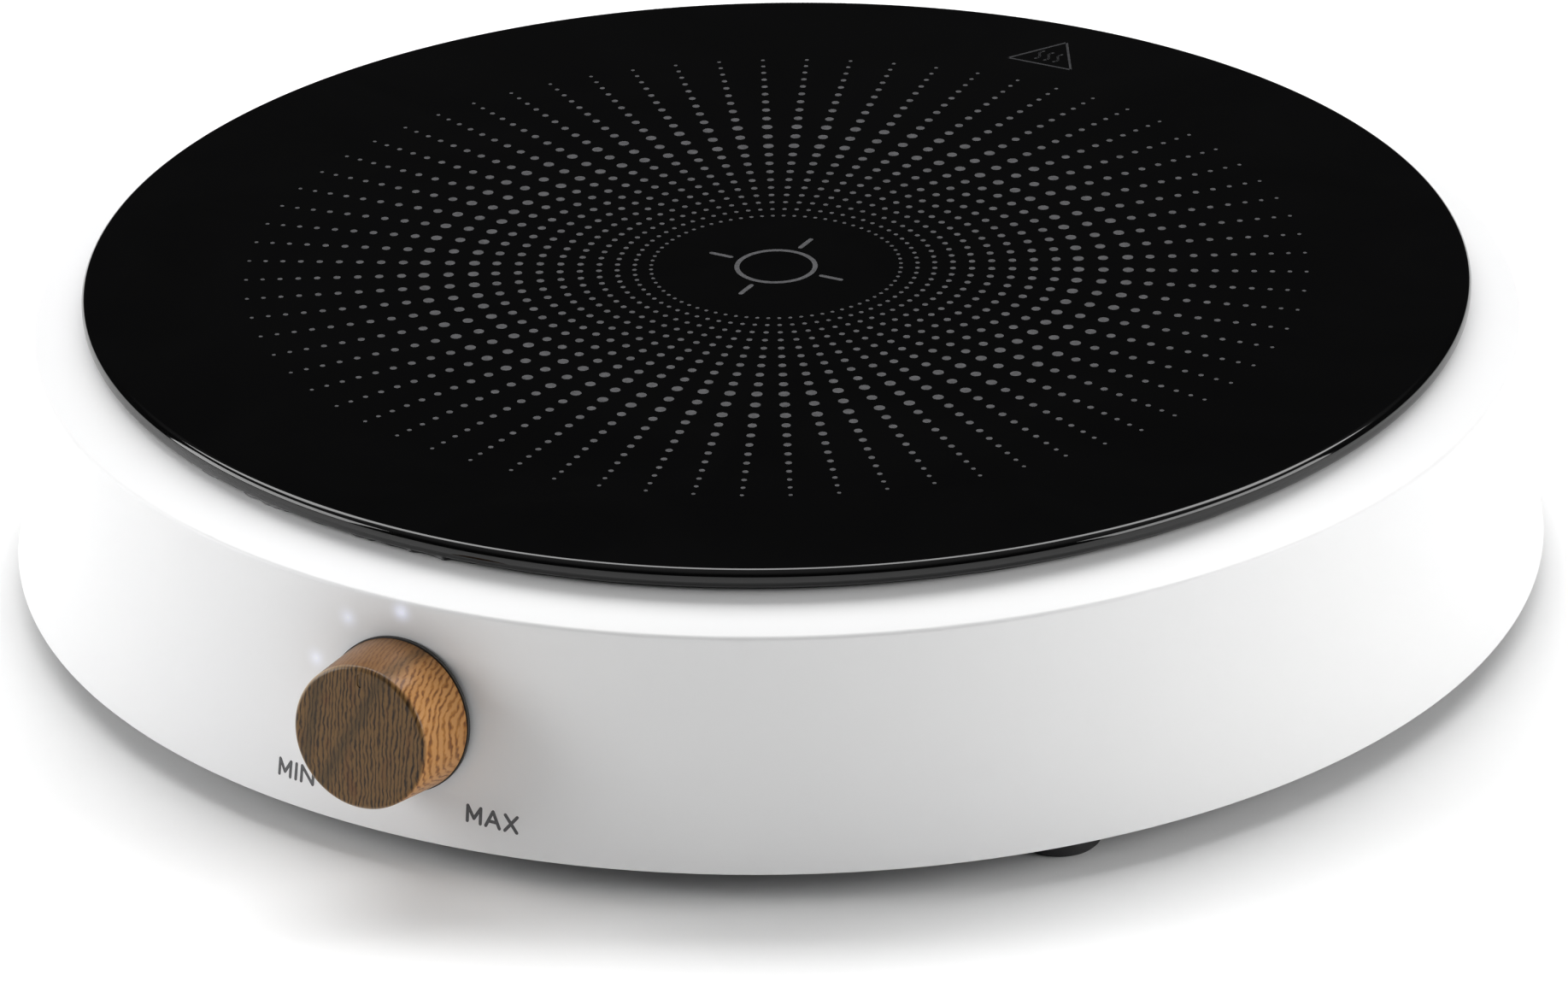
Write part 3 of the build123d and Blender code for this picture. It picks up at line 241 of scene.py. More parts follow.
# ---- Material helper ----
class Shader:
    """A node material round one Principled shader. Sockets are named with _ for a space."""

    def __init__(self, name):
        self.material = bpy.data.materials.new(name)
        self.material.use_nodes = True
        self.tree = self.material.node_tree
        self.surface = self.tree.nodes["Principled BSDF"]
        self.place = self.tree.nodes.new("ShaderNodeTexCoord").outputs["Object"]

    def feed(self, node, sockets):
        """Links each socket to an output, or sets its plain value."""
        for key, value in sockets.items():
            socket = node.inputs[key if isinstance(key, int) else key.replace("_", " ")]
            if isinstance(value, bpy.types.NodeSocket):
                self.tree.links.new(value, socket)
            elif socket.type == "RGBA" and len(value) == 3:
                socket.default_value = (*value, 1.0)
            else:
                socket.default_value = value

    def set(self, **sockets):
        """Feeds the Principled shader."""
        self.feed(self.surface, sockets)

    def noise(self, scale, detail=3.0, place=None, distortion=0.0):
        """Cloudy value, mostly between 0.3 and 0.7."""
        node = self.tree.nodes.new("ShaderNodeTexNoise")
        place = place or self.place
        self.feed(node, {"Vector": place, "Scale": scale, "Detail": detail, "Distortion": distortion})
        return node.outputs["Fac"]

    def maths(self, operation, *values, clamp=False):
        """One step of arithmetic on one to three values."""
        node = self.tree.nodes.new("ShaderNodeMath")
        node.operation = operation
        node.use_clamp = clamp
        self.feed(node, dict(enumerate(values)))
        return node.outputs[0]

    def stretch(self, scale, place=None):
        """Place scaled along its axes: a pattern grows longer where the scale is small."""
        node = self.tree.nodes.new("ShaderNodeMapping")
        self.feed(node, {"Vector": place or self.place, "Scale": scale})
        return node.outputs[0]

    def ramp(self, value, *stops):
        """Colour read off a value, from stops of (position, colour)."""
        node = self.tree.nodes.new("ShaderNodeValToRGB")
        self.feed(node, {"Fac": value})
        elements = node.color_ramp.elements
        while len(elements) < len(stops):
            elements.new(0.5)
        for element, (position, colour) in zip(elements, stops):
            element.position = position
            element.color = (*colour, 1.0)
        return node.outputs["Color"]

    def between(self, value, low, high, start=0.0, end=1.0):
        """Brings a value that runs from start to end into the range from low to high."""
        node = self.tree.nodes.new("ShaderNodeMapRange")
        self.feed(node, {"Value": value, "From_Min": start, "From_Max": end, "To_Min": low, "To_Max": high})
        return node.outputs["Result"]

    def centred(self, value, width):
        """A noise value shifted to run both ways from zero, over a width."""
        return self.maths("MULTIPLY", self.maths("SUBTRACT", value, 0.5), width)

    def blend(self, amount, first, second):
        """Goes from the first colour to the second as the amount goes from 0 to 1."""
        node = self.tree.nodes.new("ShaderNodeMix")
        node.data_type = "RGBA"
        self.feed(node, {0: amount, 6: first, 7: second})
        return node.outputs[2]

    def bump(self, height, strength, distance, under=None):
        """Relief on the surface, over the relief named under."""
        node = self.tree.nodes.new("ShaderNodeBump")
        self.feed(node, {"Height": height, "Strength": strength, "Distance": distance})
        if under:
            self.tree.links.new(under, node.inputs["Normal"])
        self.tree.links.new(node.outputs[0], self.surface.inputs["Normal"])
        return node.outputs[0]


def shade(colour, factor):
    """Colour made lighter or darker."""
    return tuple(min(1.0, channel * factor) for channel in colour[:3])


def linear(red, green, blue):
    """Colour from 8-bit display values."""
    parts = [value / 255 for value in (red, green, blue)]
    return tuple(p / 12.92 if p <= 0.04045 else ((p + 0.055) / 1.055) ** 2.4 for p in parts)


# ---- Materials of the outside ----
def led_places():
    """Lit LEDs' places on the wall, from the lowest left one up to the top."""
    for index in range(LEDS_LIT):
        turn = (index - LEDS_LIT + 1) * LED_STEP
        yield on_wall(LED_CIRCLE_R * math.sin(turn), LED_CIRCLE_R * math.cos(turn))


GLOW_R = 3.4 * MM
GLOW_FALL = 2.2  # power by which the glow fades from its middle
GLOW_TOP = 0.46
GLOW_OTHERS = 0.28
GLOW_COLOUR = (0.62, 0.70, 1.0)


def white_shell():
    """Satin white moulded plastic, with the lit LEDs glowing through it."""
    s = Shader("white_shell_look")
    broad = s.noise(9, 2)
    s.set(Base_Color=s.ramp(broad, (0.3, linear(229, 229, 230)), (0.7, linear(232, 232, 232))))
    s.set(Roughness=s.between(s.noise(60, 4), 0.34, 0.42), Specular_IOR_Level=0.42)
    fine = s.bump(s.noise(2600, 2), 0.05, 0.00003)
    s.bump(s.noise(260, 2), 0.04, 0.0001, under=fine)
    glow = None
    for number, place in enumerate(led_places()):
        node = s.tree.nodes.new("ShaderNodeVectorMath")
        node.operation = "DISTANCE"
        s.feed(node, {0: s.place, 1: place})
        strength = GLOW_TOP if number == LEDS_LIT - 1 else GLOW_OTHERS
        near = s.maths("SUBTRACT", 1.0, s.maths("DIVIDE", node.outputs["Value"], GLOW_R), clamp=True)
        lit = s.maths("MULTIPLY", s.maths("POWER", near, GLOW_FALL), strength)
        glow = s.maths("ADD", glow, lit) if glow else lit
    s.set(Emission_Color=GLOW_COLOUR, Emission_Strength=glow)
    return s.material


def black_glass():
    """Polished black glass-ceramic with the faintest smears."""
    s = Shader("black_glass_look")
    smear = s.noise(24, 5, distortion=1.2)
    s.set(Base_Color=s.ramp(smear, (0.3, (0.0016, 0.0016, 0.0017)), (0.8, (0.0022, 0.0022, 0.0023))))
    s.set(Roughness=s.between(smear, 0.035, 0.075), Specular_IOR_Level=0.45, IOR=1.5)
    s.bump(s.noise(40, 2), 0.02, 0.0001)
    return s.material


def print_grey(name, tone):
    """Dark grey ceramic ink, a little uneven."""
    s = Shader(name)
    ink = linear(*tone)
    s.set(Base_Color=s.ramp(s.noise(900, 3), (0.3, shade(ink, 0.8)), (0.7, shade(ink, 1.25))))
    s.set(Roughness=s.between(s.noise(2400, 2), 0.3, 0.5), Specular_IOR_Level=0.3)
    s.bump(s.noise(5200, 2), 0.2, 0.00002)
    return s.material


def label_grey():
    """Dark grey pad-printed ink on the wall."""
    s = Shader("label_grey_look")
    s.set(Base_Color=s.ramp(s.noise(1500, 3), (0.3, linear(72, 72, 74)), (0.7, linear(88, 88, 90))))
    s.set(Roughness=s.between(s.noise(900, 2), 0.45, 0.6))
    s.bump(s.noise(6000, 2), 0.1, 0.00002)
    return s.material


def black_silicone():
    """Glossy black sealant."""
    s = Shader("black_silicone_look")
    s.set(Base_Color=s.ramp(s.noise(300, 3), (0.3, (0.006, 0.006, 0.007)), (0.8, (0.014, 0.014, 0.015))))
    s.set(Roughness=s.between(s.noise(500, 3), 0.35, 0.55))
    s.bump(s.noise(1400, 3), 0.3, 0.0001)
    return s.material


# ---- The knob's wood, in places counted from the knob's own centre ----
WOOD_SHEET = 0.9 * MM  # spacing of the growth sheets
WOOD_LEAN = 0.22  # how far they lean across the knob on the way to its face
WOOD_WANDER = 3.4 * MM  # their slow, middling and quick waves
WOOD_RIPPLE = 1.3 * MM
WOOD_CRINKLE = 0.75 * MM
# lean, offset and half width on the face of the sheets that are darker right through
DARK_SHEETS = ((-0.55, 2.2 * MM, 1.5 * MM), (-0.10, 10.9 * MM, 1.3 * MM))


def knob_coordinates(s):
    """Place in the knob's own frame, its third axis out of the wall, whole and split."""
    local = s.tree.nodes.new("ShaderNodeMapping")
    local.vector_type = "POINT"
    turned = knob_matrix.inverted()
    s.feed(local, {"Vector": s.place, "Location": turned.translation, "Rotation": turned.to_euler()})
    split = s.tree.nodes.new("ShaderNodeSeparateXYZ")
    s.feed(split, {"Vector": local.outputs[0]})
    return local.outputs[0], [split.outputs[axis] for axis in "XYZ"]


def wood_grain(s, place, x, z, wander, fibres):
    """Thin dark lines where the growth sheets come out, broken into dashes, over fine fibres."""
    ripple = s.centred(s.noise(360, 2, place=s.stretch((1.0, 0.5, 0.5), place)), WOOD_RIPPLE)
    crinkle = s.centred(s.noise(1000, 1, place=s.stretch((1.0, 0.6, 0.6), place)), WOOD_CRINKLE)
    depth = s.maths("SUBTRACT", x, s.maths("MULTIPLY", z, WOOD_LEAN))
    depth = s.maths("ADD", s.maths("ADD", depth, wander), s.maths("ADD", ripple, crinkle))
    rings = s.maths("SINE", s.maths("MULTIPLY", depth, 2 * math.pi / WOOD_SHEET))
    rings = s.maths("POWER", s.between(rings, 0.0, 1.0, -1.0, 1.0), 1.6)
    dashes = s.noise(1500, 2, place=s.stretch((1.3, 0.24, 0.24), place))
    dashes = s.between(dashes, 0.0, 1.0, 0.34, 0.62)
    line = s.maths("MULTIPLY", rings, s.maths("ADD", 0.35, s.maths("MULTIPLY", dashes, 0.75)))
    return s.maths("ADD", line, s.maths("MULTIPLY", s.centred(fibres, 1.0), 0.7))


def dark_sheets(s, x, y, wander):
    """How far a place lies inside one of the dark sheets."""
    inside = None
    for lean, offset, half in DARK_SHEETS:
        away = s.maths("ADD", s.maths("ADD", x, s.maths("MULTIPLY", y, lean)), offset)
        away = s.maths("ABSOLUTE", s.maths("ADD", away, wander))
        near = s.between(away, 1.0, 0.0, 0.2 * half, 1.6 * half)
        inside = s.maths("MAXIMUM", inside, near) if inside else near
    return inside


def painted_edge_highlight(s, x, y, z):
    """How far the edge of the face gets a painted highlight, paler on the left and at the bottom."""
    away = s.maths("ABSOLUTE", s.maths("SUBTRACT", z, KNOB_FRONT - 0.6 * KNOB_EDGE))
    edge = s.between(away, 1.0, 0.0, 0.15 * KNOB_EDGE, 0.58 * KNOB_EDGE)
    left = s.between(s.maths("ADD", x, s.maths("MULTIPLY", y, 0.35)), 1.0, 0.0, -6 * MM, 5 * MM)
    return s.maths("MULTIPLY", s.maths("MULTIPLY", edge, left), 0.85)


def knob_wood():
    """Lacquered wood, darker on the face, its growth sheets upright and leaning a little."""
    s = Shader("knob_wood_look")
    place, (x, y, z) = knob_coordinates(s)
    wander = s.centred(s.noise(90, 1, place=s.stretch((1.0, 0.5, 0.6), place)), WOOD_WANDER)
    fibres = s.noise(2600, 2, place=s.stretch((1.0, 0.12, 0.12), place))
    grain = wood_grain(s, place, x, z, wander, fibres)
    side = s.ramp(grain, (0.10, linear(188, 136, 80)), (0.45, linear(164, 110, 52)),
                  (0.95, linear(116, 72, 34)))
    # Painted shade: the side is made darker towards the top and the left of the knob, as if less light fell there.
    side = s.blend(s.between(x, 0.78, 0.05, 2 * MM, 13 * MM), side, linear(80, 50, 18))
    face = s.ramp(grain, (0.10, linear(108, 80, 44)), (0.45, linear(76, 54, 28)), (0.95, linear(30, 19, 11)))
    warmth = s.noise(300, 2, place=s.stretch((1.0, 0.4, 0.4), place))
    face = s.blend(s.between(warmth, 0.0, 0.5, 0.55, 0.75), face, linear(92, 52, 18))
    on_face = s.between(z, 0.0, 1.0, KNOB_FRONT - 1.1 * KNOB_EDGE, KNOB_FRONT - 0.15 * KNOB_EDGE)
    colour = s.blend(on_face, side, face)
    colour = s.blend(s.maths("MULTIPLY", dark_sheets(s, x, y, wander), 0.5), colour, linear(52, 42, 24))
    # Painted highlight: a pale band along the rounded edge of the face, on the left and at the bottom.
    colour = s.blend(painted_edge_highlight(s, x, y, z), colour, linear(176, 154, 128))
    s.set(Base_Color=colour, Coat_Weight=0.22, Coat_Roughness=0.14, Specular_IOR_Level=0.18)
    s.set(Roughness=s.between(fibres, 0.40, 0.60))
    s.bump(s.maths("SUBTRACT", 1.0, grain), 0.12, 0.00010)
    return s.material


# ---- Materials of the feet and the floor ----
def foot_rubber():
    """Black rubber with a fine moulded grain."""
    s = Shader("foot_rubber_look")
    s.set(Base_Color=s.ramp(s.noise(400, 3), (0.3, (0.012, 0.012, 0.013)), (0.8, (0.024, 0.024, 0.025))))
    s.set(Roughness=s.between(s.noise(700, 2), 0.5, 0.7))
    s.bump(s.noise(1800, 3), 0.25, 0.00008)
    return s.material


def floor_look():
    """Pale, matte studio floor."""
    s = Shader("studio_floor")
    s.set(Base_Color=s.ramp(s.noise(3, 2), (0.3, (0.96, 0.96, 0.96)), (0.7, (0.98, 0.98, 0.98))))
    s.set(Roughness=0.9, Specular_IOR_Level=0.05)
    return s.material


# ---- Materials of the inside, one kind for each way of making ----
def moulded(name, colour, roughness):
    """Plastic with the fine texture of its mould and slight flow marks."""
    s = Shader(name + "_look")
    flow = s.noise(45, 3, distortion=0.8)
    s.set(Base_Color=s.ramp(flow, (0.3, shade(colour, 0.92)), (0.7, shade(colour, 1.06))))
    s.set(Roughness=s.between(s.noise(220, 3), roughness - 0.06, roughness + 0.08))
    s.bump(s.noise(1600, 3), 0.18, 0.00006)
    return s.material


def metal(name, colour, roughness):
    """Bare metal with fine drawn or rolled streaks."""
    s = Shader(name + "_look")
    streaks = s.noise(700, 4, place=s.stretch((1, 1, 14)))
    s.set(Base_Color=s.ramp(streaks, (0.3, shade(colour, 0.85)), (0.7, shade(colour, 1.1))))
    s.set(Metallic=1.0, Roughness=s.between(streaks, roughness - 0.08, roughness + 0.12))
    s.bump(streaks, 0.15, 0.00004)
    return s.material


def fired(name, colour, roughness):
    """Ceramic or pressed mineral sheet, speckled and slightly rough."""
    s = Shader(name + "_look")
    specks = s.noise(1300, 4)
    s.set(Base_Color=s.ramp(specks, (0.3, shade(colour, 0.8)), (0.7, shade(colour, 1.15))))
    s.set(Roughness=s.between(specks, roughness - 0.1, roughness + 0.1))
    s.bump(specks, 0.3, 0.0001)
    return s.material


def copper_wire():
    """Enamelled copper strands, with a fine twist across each turn."""
    s = Shader("copper_wire_look")
    twist = s.tree.nodes.new("ShaderNodeTexWave")
    twist.wave_type = "BANDS"
    twist.bands_direction = "DIAGONAL"
    s.feed(twist, {"Vector": s.place, "Scale": 420.0, "Distortion": 4.0, "Detail": 2.0})
    strands = twist.outputs["Fac"]
    s.set(Base_Color=s.ramp(strands, (0.2, (0.24, 0.08, 0.03)), (0.8, (0.62, 0.27, 0.12))))
    s.set(Metallic=0.8, Roughness=s.between(strands, 0.3, 0.5))
    s.bump(strands, 0.5, 0.0002)
    return s.material


def circuit_board():
    """Green solder mask over a web of copper tracks."""
    s = Shader("circuit_board_look")
    web = s.tree.nodes.new("ShaderNodeTexVoronoi")
    web.distance = "MANHATTAN"
    web.feature = "F2"
    s.feed(web, {"Vector": s.place, "Scale": 130.0})
    tracks = web.outputs["Distance"]
    s.set(Base_Color=s.ramp(tracks, (0.45, (0.012, 0.10, 0.035)), (0.55, (0.03, 0.20, 0.07))))
    s.set(Roughness=s.between(s.noise(300, 3), 0.25, 0.4))
    s.bump(tracks, 0.3, 0.0001)
    return s.material


LOOKS = {
    "white_shell": white_shell,
    "black_glass": black_glass,
    "black_silicone": black_silicone,
    "knob_wood": knob_wood,
    "foot_rubber": foot_rubber,
    "copper_wire": copper_wire,
    "board_green": circuit_board,
}
# The rest by their way of making, each with its roughness.
MOULDED = {
    "grey_base": 0.6,
    "led_lens": 0.3,
    "black_plastic": 0.5,
    "former_plastic": 0.55,
    "grey_cable": 0.5,
    "red_cable": 0.55,
    "white_silicone": 0.6,
    "black_epoxy": 0.45,
    "capacitor_blue": 0.3,
    "capacitor_yellow": 0.35,
    "transformer_yellow": 0.5,
    "black_sleeve": 0.25,
    "terminal_green": 0.45,
    "white_nylon": 0.5,
    "black_rubber_grommet": 0.6,
}
METALS = {"steel": 0.35, "aluminium": 0.4, "pot_metal": 0.35, "brass_terminal": 0.3}
FIRED = {"ferrite": 0.6, "mica": 0.6, "sensor_ceramic": 0.5}


def dress_cad_nodes():
    """Gives each CAD node the material of its slot."""
    colours = {m["slot"]: m["base_color"] for m in frame["record"]["materials"]}
    made = {}
    for slot, colour in colours.items():
        if slot in LOOKS:
            made[slot] = LOOKS[slot]()
        elif slot in MOULDED:
            made[slot] = moulded(slot, colour, MOULDED[slot])
        elif slot in METALS:
            made[slot] = metal(slot, colour, METALS[slot])
        else:
            made[slot] = fired(slot, colour, FIRED[slot])
    slots = {part["node"]: part["material_slot"] for part in frame["record"]["subparts"]}
    for name, node in frame["nodes"].items():
        for place in node.material_slots:
            place.material = made[slots[name]]
    return made


def finish_piece(piece, material):
    """Gives a new piece its material, in its one slot."""
    piece.data.materials.clear()
    piece.data.materials.append(material)


# ---- Pieces of the outside ----
def make_glass(made):
    """Glass plate with a rounded edge."""
    outline = rounded([
        (0, GLASS_UNDER, 0),
        (GLASS_R + GLASS_EDGE, GLASS_UNDER, GLASS_EDGE),
        (GLASS_R + GLASS_EDGE, GLASS_TOP, GLASS_EDGE),
        (0, GLASS_TOP, 0),
    ], steps=10)
    piece = new_piece("glass_plate_disc", lambda bm: lathe(bm, outline, segments=384))
    smooth(piece)
    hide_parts("glass_plate")
    finish_piece(piece, made["black_glass"])


# ---- Prints on the glass ----
PRINT_TURN = Matrix.Rotation(math.radians(-0.27), 3, "Z")  # the glass sits turned a little from the knob
INK_LOW = -0.05 * MM
INK_HIGH = 0.02 * MM
SPOKES = 72
MIDDLE_RING_R = 66.82 * MM
RING_STEPS = 10  # rings inward and outward from the middle one
# gaps between rings and radii of dots, in mm, from the middle ring on
RING_GAPS = [5.05, 4.55] + [4.55 - 0.168 * step for step in range(RING_STEPS - 2)]
DOT_RADII = [1.06, 1.13] + [0.925 - 0.065 * step for step in range(RING_STEPS - 1)]
CENTRE_RING_R = 8.0 * MM
CENTRE_LINE = 1.0 * MM
TICK_ENDS = (10.5 * MM, 15.0 * MM)
TRIANGLE_SIDE = 15.0 * MM
TRIANGLE_BASE_Y = 118.3 * MM
TRIANGLE_LINE = 0.5 * MM
WAVE_LINE = 0.45 * MM
WAVE_GAP = 2.2 * MM
WAVE_SWING = 0.5 * MM
WAVE_START = 2.2 * MM  # above the triangle's base
WAVE_STEPS = 8
WAVE_STEP = 0.55 * MM


def on_glass(x, y, height):
    """Point on top of the glass."""
    return PRINT_TURN @ Vector((x, y, GLASS_TOP + height))


def print_dots(bm):
    """Dots on spokes and rings, the rings closing up away from the middle one."""
    for inward in (False, True):
        radius = MIDDLE_RING_R
        for step in range(RING_STEPS + 1):
            if step > 0:
                radius += (-1 if inward else 1) * RING_GAPS[step - 1] * MM
            if step == 0 and inward:
                continue
            for spoke in range(SPOKES):
                turn = 2 * math.pi * spoke / SPOKES
                dot = (radius * math.sin(turn), -radius * math.cos(turn), DOT_RADII[step] * MM)
                prism(bm, disc_outline(*dot), on_glass, INK_LOW, INK_HIGH)


def print_centre(bm):
    """Plain ring with four ticks, to centre a pan on."""
    inner = CENTRE_RING_R - CENTRE_LINE / 2
    outer = CENTRE_RING_R + CENTRE_LINE / 2
    low = GLASS_TOP + INK_LOW
    high = GLASS_TOP + INK_HIGH
    lathe(bm, [(inner, low), (outer, low), (outer, high), (inner, high)], segments=96)
    for quarter in range(4):
        turn = math.pi / 2 * quarter
        tick = [(r * math.cos(turn), r * math.sin(turn)) for r in TICK_ENDS]
        prism(bm, stroke_outline(*tick, CENTRE_LINE), on_glass, INK_LOW, INK_HIGH)


def print_hot_mark(bm):
    """Plain triangle with three wavy strokes, at the back of the glass."""
    height = TRIANGLE_SIDE * math.sqrt(3) / 2
    corners = [
        (-TRIANGLE_SIDE / 2, TRIANGLE_BASE_Y),
        (TRIANGLE_SIDE / 2, TRIANGLE_BASE_Y),
        (0, TRIANGLE_BASE_Y + height),
    ]
    for start, end in zip(corners, corners[1:] + corners[:1]):
        prism(bm, stroke_outline(start, end, TRIANGLE_LINE), on_glass, INK_LOW, INK_HIGH)
    for across in (-WAVE_GAP, 0, WAVE_GAP):
        wave = []
        for step in range(WAVE_STEPS + 1):
            swing = WAVE_SWING * math.sin(2 * math.pi * step / WAVE_STEPS)
            wave.append((across + swing, TRIANGLE_BASE_Y + WAVE_START + WAVE_STEP * step))
        for start, end in zip(wave, wave[1:]):
            prism(bm, stroke_outline(start, end, WAVE_LINE, sides=3), on_glass, INK_LOW, INK_HIGH)


def make_prints():
    """The dot field, the centre mark and the hot-surface mark."""
    ink = print_grey("print_grey_look", (74, 74, 76))
    dark_ink = print_grey("print_dark_grey_look", (46, 46, 48))
    prints = (
        ("printed_dots", print_dots, ink),
        ("printed_centre_mark", print_centre, ink),
        ("printed_hot_mark", print_hot_mark, dark_ink),
    )
    for name, build, look in prints:
        piece = new_piece(name, build)
        finish_piece(piece, look)


# ---- Words on the wall ----
# Letters as a width and strokes on a grid one unit high.
LETTERS = {
    "M": (0.87, [((0, 0), (0, 1)), ((0, 1), (0.435, 0.25)),
                 ((0.435, 0.25), (0.87, 1)), ((0.87, 1), (0.87, 0))]),
    "I": (0.16, [((0.08, 0), (0.08, 1))]),
    "N": (0.90, [((0, 0), (0, 1)), ((0, 1), (0.9, 0)), ((0.9, 0), (0.9, 1))]),
    "A": (0.90, [((0, 0), (0.45, 1)), ((0.45, 1), (0.9, 0)), ((0.16, 0.34), (0.74, 0.34))]),
    "X": (0.78, [((0, 0), (0.78, 1)), ((0.78, 0), (0, 1))]),
}
LETTER_H = 3.1 * MM
LETTER_W = 0.66 * MM
LETTER_GAP = 1.12 * MM
# word, lower left corner counted from the knob's axis, and slope of its line
LABELS = {
    "label_min": ("MIN", -27.7 * MM, -19.6 * MM, 0.0),
    "label_max": ("MAX", 14.9 * MM, -19.1 * MM, -0.09),
}


def print_word(bm, word, left, low, slope):
    """Word printed on the wall in round-ended strokes."""
    pen = 0.0
    for letter in word:
        width, strokes = LETTERS[letter]
        for start, end in strokes:
            points = []
            for x, y in (start, end):
                across = pen + x * LETTER_H
                points.append((left + across, low + y * LETTER_H + slope * across))
            prism(bm, stroke_outline(*points, LETTER_W), on_wall, INK_LOW, INK_HIGH)
        pen += width * LETTER_H + LETTER_GAP


def make_labels():
    """The words at the two ends of the knob's range."""
    ink = label_grey()
    for name, label in LABELS.items():
        piece = new_piece(name, lambda bm: print_word(bm, *label))
        finish_piece(piece, ink)


# ---- Sealant bead, body and knob ----
SEAL_LIMIT_R = GLASS_R + 0.35 * MM  # no blob comes out further than this
SEAL_WAVES = ((0.08 * MM, 23, 0), (0.06 * MM, 57, 1))  # height, waves round the bead, shift in radians
BLOBS = 46
BLOB_ARC = (-75, 12)  # degrees from the front, the left side first
BLOB_SIZE = (0.15, 0.75)  # mm
BLOB_SPREAD = (0.25, 0.9)  # degrees


def make_seal(made):
    """Sealant bead under the glass, uneven where it was squeezed out at the front left."""
    chance = random.Random(7)
    blobs = []
    for _ in range(BLOBS):
        centre = math.radians(chance.uniform(*BLOB_ARC) - 90)
        size = chance.uniform(*BLOB_SIZE) * MM
        spread = math.radians(chance.uniform(*BLOB_SPREAD))
        blobs.append((centre, size, spread))

    def reshape(radius, height, angle):
        """Moves the outer side in and out, less at the top. The inner side stays."""
        if radius < (SEAL_INNER_R + SEAL_R) / 2:
            return radius, height
        wave = sum(swing * math.sin(count * angle + shift) for swing, count, shift in SEAL_WAVES)
        for centre, size, spread in blobs:
            away = math.remainder(angle - centre, 2 * math.pi) / spread
            if abs(away) < 3:
                wave += size * math.exp(-away * away)
        low = 1.0 if height < GLASS_UNDER - SEAL_T / 2 else 0.6
        return min(radius + wave * low, SEAL_LIMIT_R), height

    outline = rounded([
        (SEAL_INNER_R, LEDGE_Z, 0),
        (SEAL_R, LEDGE_Z, 0.15 * MM),
        (SEAL_R, GLASS_UNDER, 0.15 * MM),
        (SEAL_INNER_R, GLASS_UNDER, 0),
    ], steps=3)
    piece = new_piece("glass_seal_bead", lambda bm: lathe(bm, outline, segments=1440, reshape=reshape))
    smooth(piece)
    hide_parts("glass_seal")
    finish_piece(piece, made["black_silicone"])


def shell_outline():
    """Closed outline of the body: ledge, bezel, shoulder, bowed wall, rim and the inside."""
    slope = (LEDGE_Z - SHOULDER_Z) / (SHOULDER_R - GLASS_R)
    bezel_t = WALL * math.hypot(1, slope)
    under = LEDGE_Z - WALL
    inner_top = LEDGE_Z - slope * (SHOULDER_R - WALL - GLASS_R) - bezel_t
    steps = 28
    heights = [SHOULDER_Z + (RIM_Z - SHOULDER_Z) * step / steps for step in range(1, steps)]
    outer = [(wall_radius(z), z, 0) for z in heights]
    inner = [(wall_radius(z) - WALL, z, 0) for z in reversed(heights) if z < inner_top - 1 * MM]
    return rounded([
        (LEDGE_R, LEDGE_Z, 0.2 * MM),
        (GLASS_R, LEDGE_Z, 3 * MM),
        (SHOULDER_R, SHOULDER_Z, SHOULDER_FILLET),
        *outer,
        (RIM_R, RIM_Z, 0.25 * MM),
        (RIM_R - RIM_T, RIM_Z, 0.3 * MM),
        *inner,
        (SHOULDER_R - WALL, inner_top, 0),
        (GLASS_R + (LEDGE_Z - bezel_t - under) / slope, under, 0),
        (LEDGE_R, under, 0.2 * MM),
    ])


def make_shell(made):
    """White body with the holes for the knob's shaft and the cord."""
    outline = shell_outline()
    piece = new_piece("top_shell_moulding", lambda bm: lathe(bm, outline, segments=384))
    for matrix, radius in ((knob_matrix, SHAFT_HOLE_R), (cord_matrix, CORD_HOLE_R)):
        reach = 3 * WALL
        tool = [(0, -reach), (radius, -reach), (radius, reach), (0, reach)]
        cut(piece, lambda bm: lathe(bm, tool, matrix, segments=64))
    smooth(piece, 25)
    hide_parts("top_shell")
    finish_piece(piece, made["white_shell"])


def make_knob(made):
    """Wooden knob with its small engraved mark."""
    outline = rounded([
        (KNOB_BORE_R, KNOB_BACK, 0.2 * MM),
        (KNOB_BASE_R, KNOB_BACK, KNOB_EDGE / 3),
        (KNOB_FACE_R, KNOB_FRONT, KNOB_EDGE),
        (0, KNOB_FRONT, 0),
        (0, KNOB_BORE_END, 0),
        (KNOB_BORE_R, KNOB_BORE_END, 0),
    ], steps=8)
    piece = new_piece("wooden_knob", lambda bm: lathe(bm, outline, knob_matrix, segments=192), "knob")
    mark_y = KNOB_FACE_R - MARK_INSET
    half = (MARK_L - MARK_W) / 2
    mark = stroke_outline((0, mark_y - half), (0, mark_y + half), MARK_W, sides=12)
    cut(piece, lambda bm: prism(bm, mark, on_knob, KNOB_FRONT - MARK_DEPTH, KNOB_FRONT + KNOB_EDGE))
    smooth(piece, 35)
    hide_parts("control_knob")
    finish_piece(piece, made["knob_wood"])


# ---- Studio: floor, light and camera ----
CAMERA_AZIMUTH = math.radians(28.63)
CAMERA_PITCH = math.radians(25.6)
CAMERA_TURN = math.radians(-1.018)
CAMERA_PLACE = Vector((0.8143, -1.4900, 0.8256))
CAMERA_LENS = 209.28
CAMERA_SENSOR = 36.0
LIGHT_DISTANCE = 1.8
# azimuth from the camera's side and elevation in degrees, width and height in metres, power in watts
SOFTBOXES = {
    "left_softbox": (-88, 19, 1.3, 0.8, 20.5),
    "right_softbox": (72, 19, 1.4, 0.8, 20),
    "back_softbox": (178, 63, 2.8, 0.8, 42),
}
FLOOR_HALF = 6.0
SKY_STOPS = ((0.5, 0.012), (0.95, 0.3))  # grey of the surroundings at the horizon and overhead


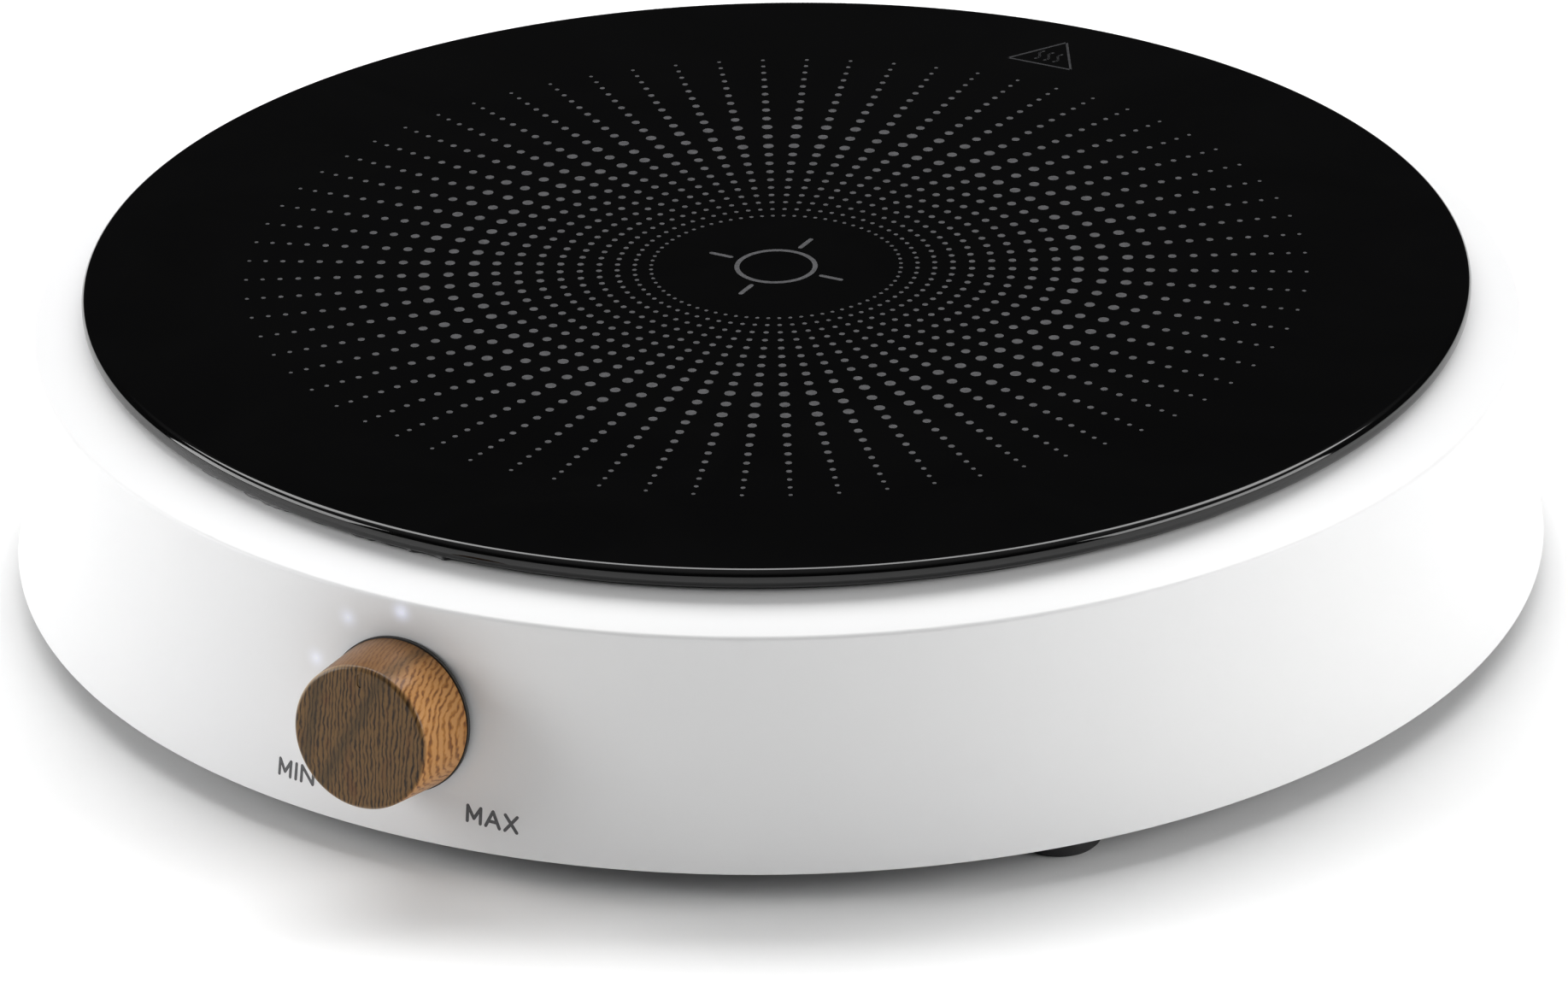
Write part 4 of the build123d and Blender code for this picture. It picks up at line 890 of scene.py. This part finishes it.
def make_camera():
    """Camera at the photograph's angle."""
    camera = bpy.data.objects.new("camera", bpy.data.cameras.new("camera"))
    bpy.context.scene.collection.objects.link(camera)
    camera.data.lens = CAMERA_LENS
    camera.data.sensor_width = CAMERA_SENSOR
    camera.matrix_world = (
        Matrix.Translation(CAMERA_PLACE)
        @ Matrix.Rotation(CAMERA_AZIMUTH, 4, "Z")
        @ Matrix.Rotation(math.pi / 2 - CAMERA_PITCH, 4, "X")
        @ Matrix.Rotation(CAMERA_TURN, 4, "Z")
    )
    bpy.context.scene.camera = camera


def soft_light(name, azimuth, elevation, width, height, power):
    """Softbox aimed at the hob."""
    data = bpy.data.lights.new(name, "AREA")
    data.shape = "RECTANGLE"
    data.size = width
    data.size_y = height
    data.energy = power
    light = bpy.data.objects.new(name, data)
    turn = CAMERA_AZIMUTH + math.radians(azimuth)
    rise = math.radians(elevation)
    level = math.cos(rise)
    away = Vector((math.sin(turn) * level, -math.cos(turn) * level, math.sin(rise)))
    light.location = away * LIGHT_DISTANCE
    light.rotation_euler = away.to_track_quat("Z", "Y").to_euler()
    bpy.context.scene.collection.objects.link(light)


def make_floor():
    """Plain pale floor just under the feet."""
    mesh = bpy.data.meshes.new("floor")
    bm = bmesh.new()
    bmesh.ops.create_grid(bm, x_segments=8, y_segments=8, size=FLOOR_HALF)
    bm.to_mesh(mesh)
    bm.free()
    floor = bpy.data.objects.new("floor", mesh)
    floor.location.z = -0.1 * MM
    bpy.context.scene.collection.objects.link(floor)
    floor.data.materials.append(floor_look())


def make_world():
    """Grey surroundings, dark at the horizon and lighter overhead."""
    world = bpy.data.worlds.new("studio")
    bpy.context.scene.world = world
    world.use_nodes = True
    nodes = world.node_tree.nodes
    links = world.node_tree.links
    place = nodes.new("ShaderNodeTexCoord")
    split = nodes.new("ShaderNodeSeparateXYZ")
    ramp = nodes.new("ShaderNodeValToRGB")
    links.new(place.outputs["Generated"], split.inputs[0])
    links.new(split.outputs["Z"], ramp.inputs["Fac"])
    for element, (position, grey) in zip(ramp.color_ramp.elements, SKY_STOPS):
        element.position = position
        element.color = (grey, grey, grey, 1)
    links.new(ramp.outputs["Color"], nodes["Background"].inputs["Color"])
    nodes["Background"].inputs["Strength"].default_value = 1.0


def make_studio():
    """Floor, softboxes and surroundings."""
    make_floor()
    for name, setting in SOFTBOXES.items():
        soft_light(name, *setting)
    make_world()
    bpy.context.scene.view_settings.view_transform = "Standard"


make_camera()
make_studio()
made = dress_cad_nodes()
make_glass(made)
make_prints()
make_seal(made)
make_shell(made)
make_labels()
make_knob(made)
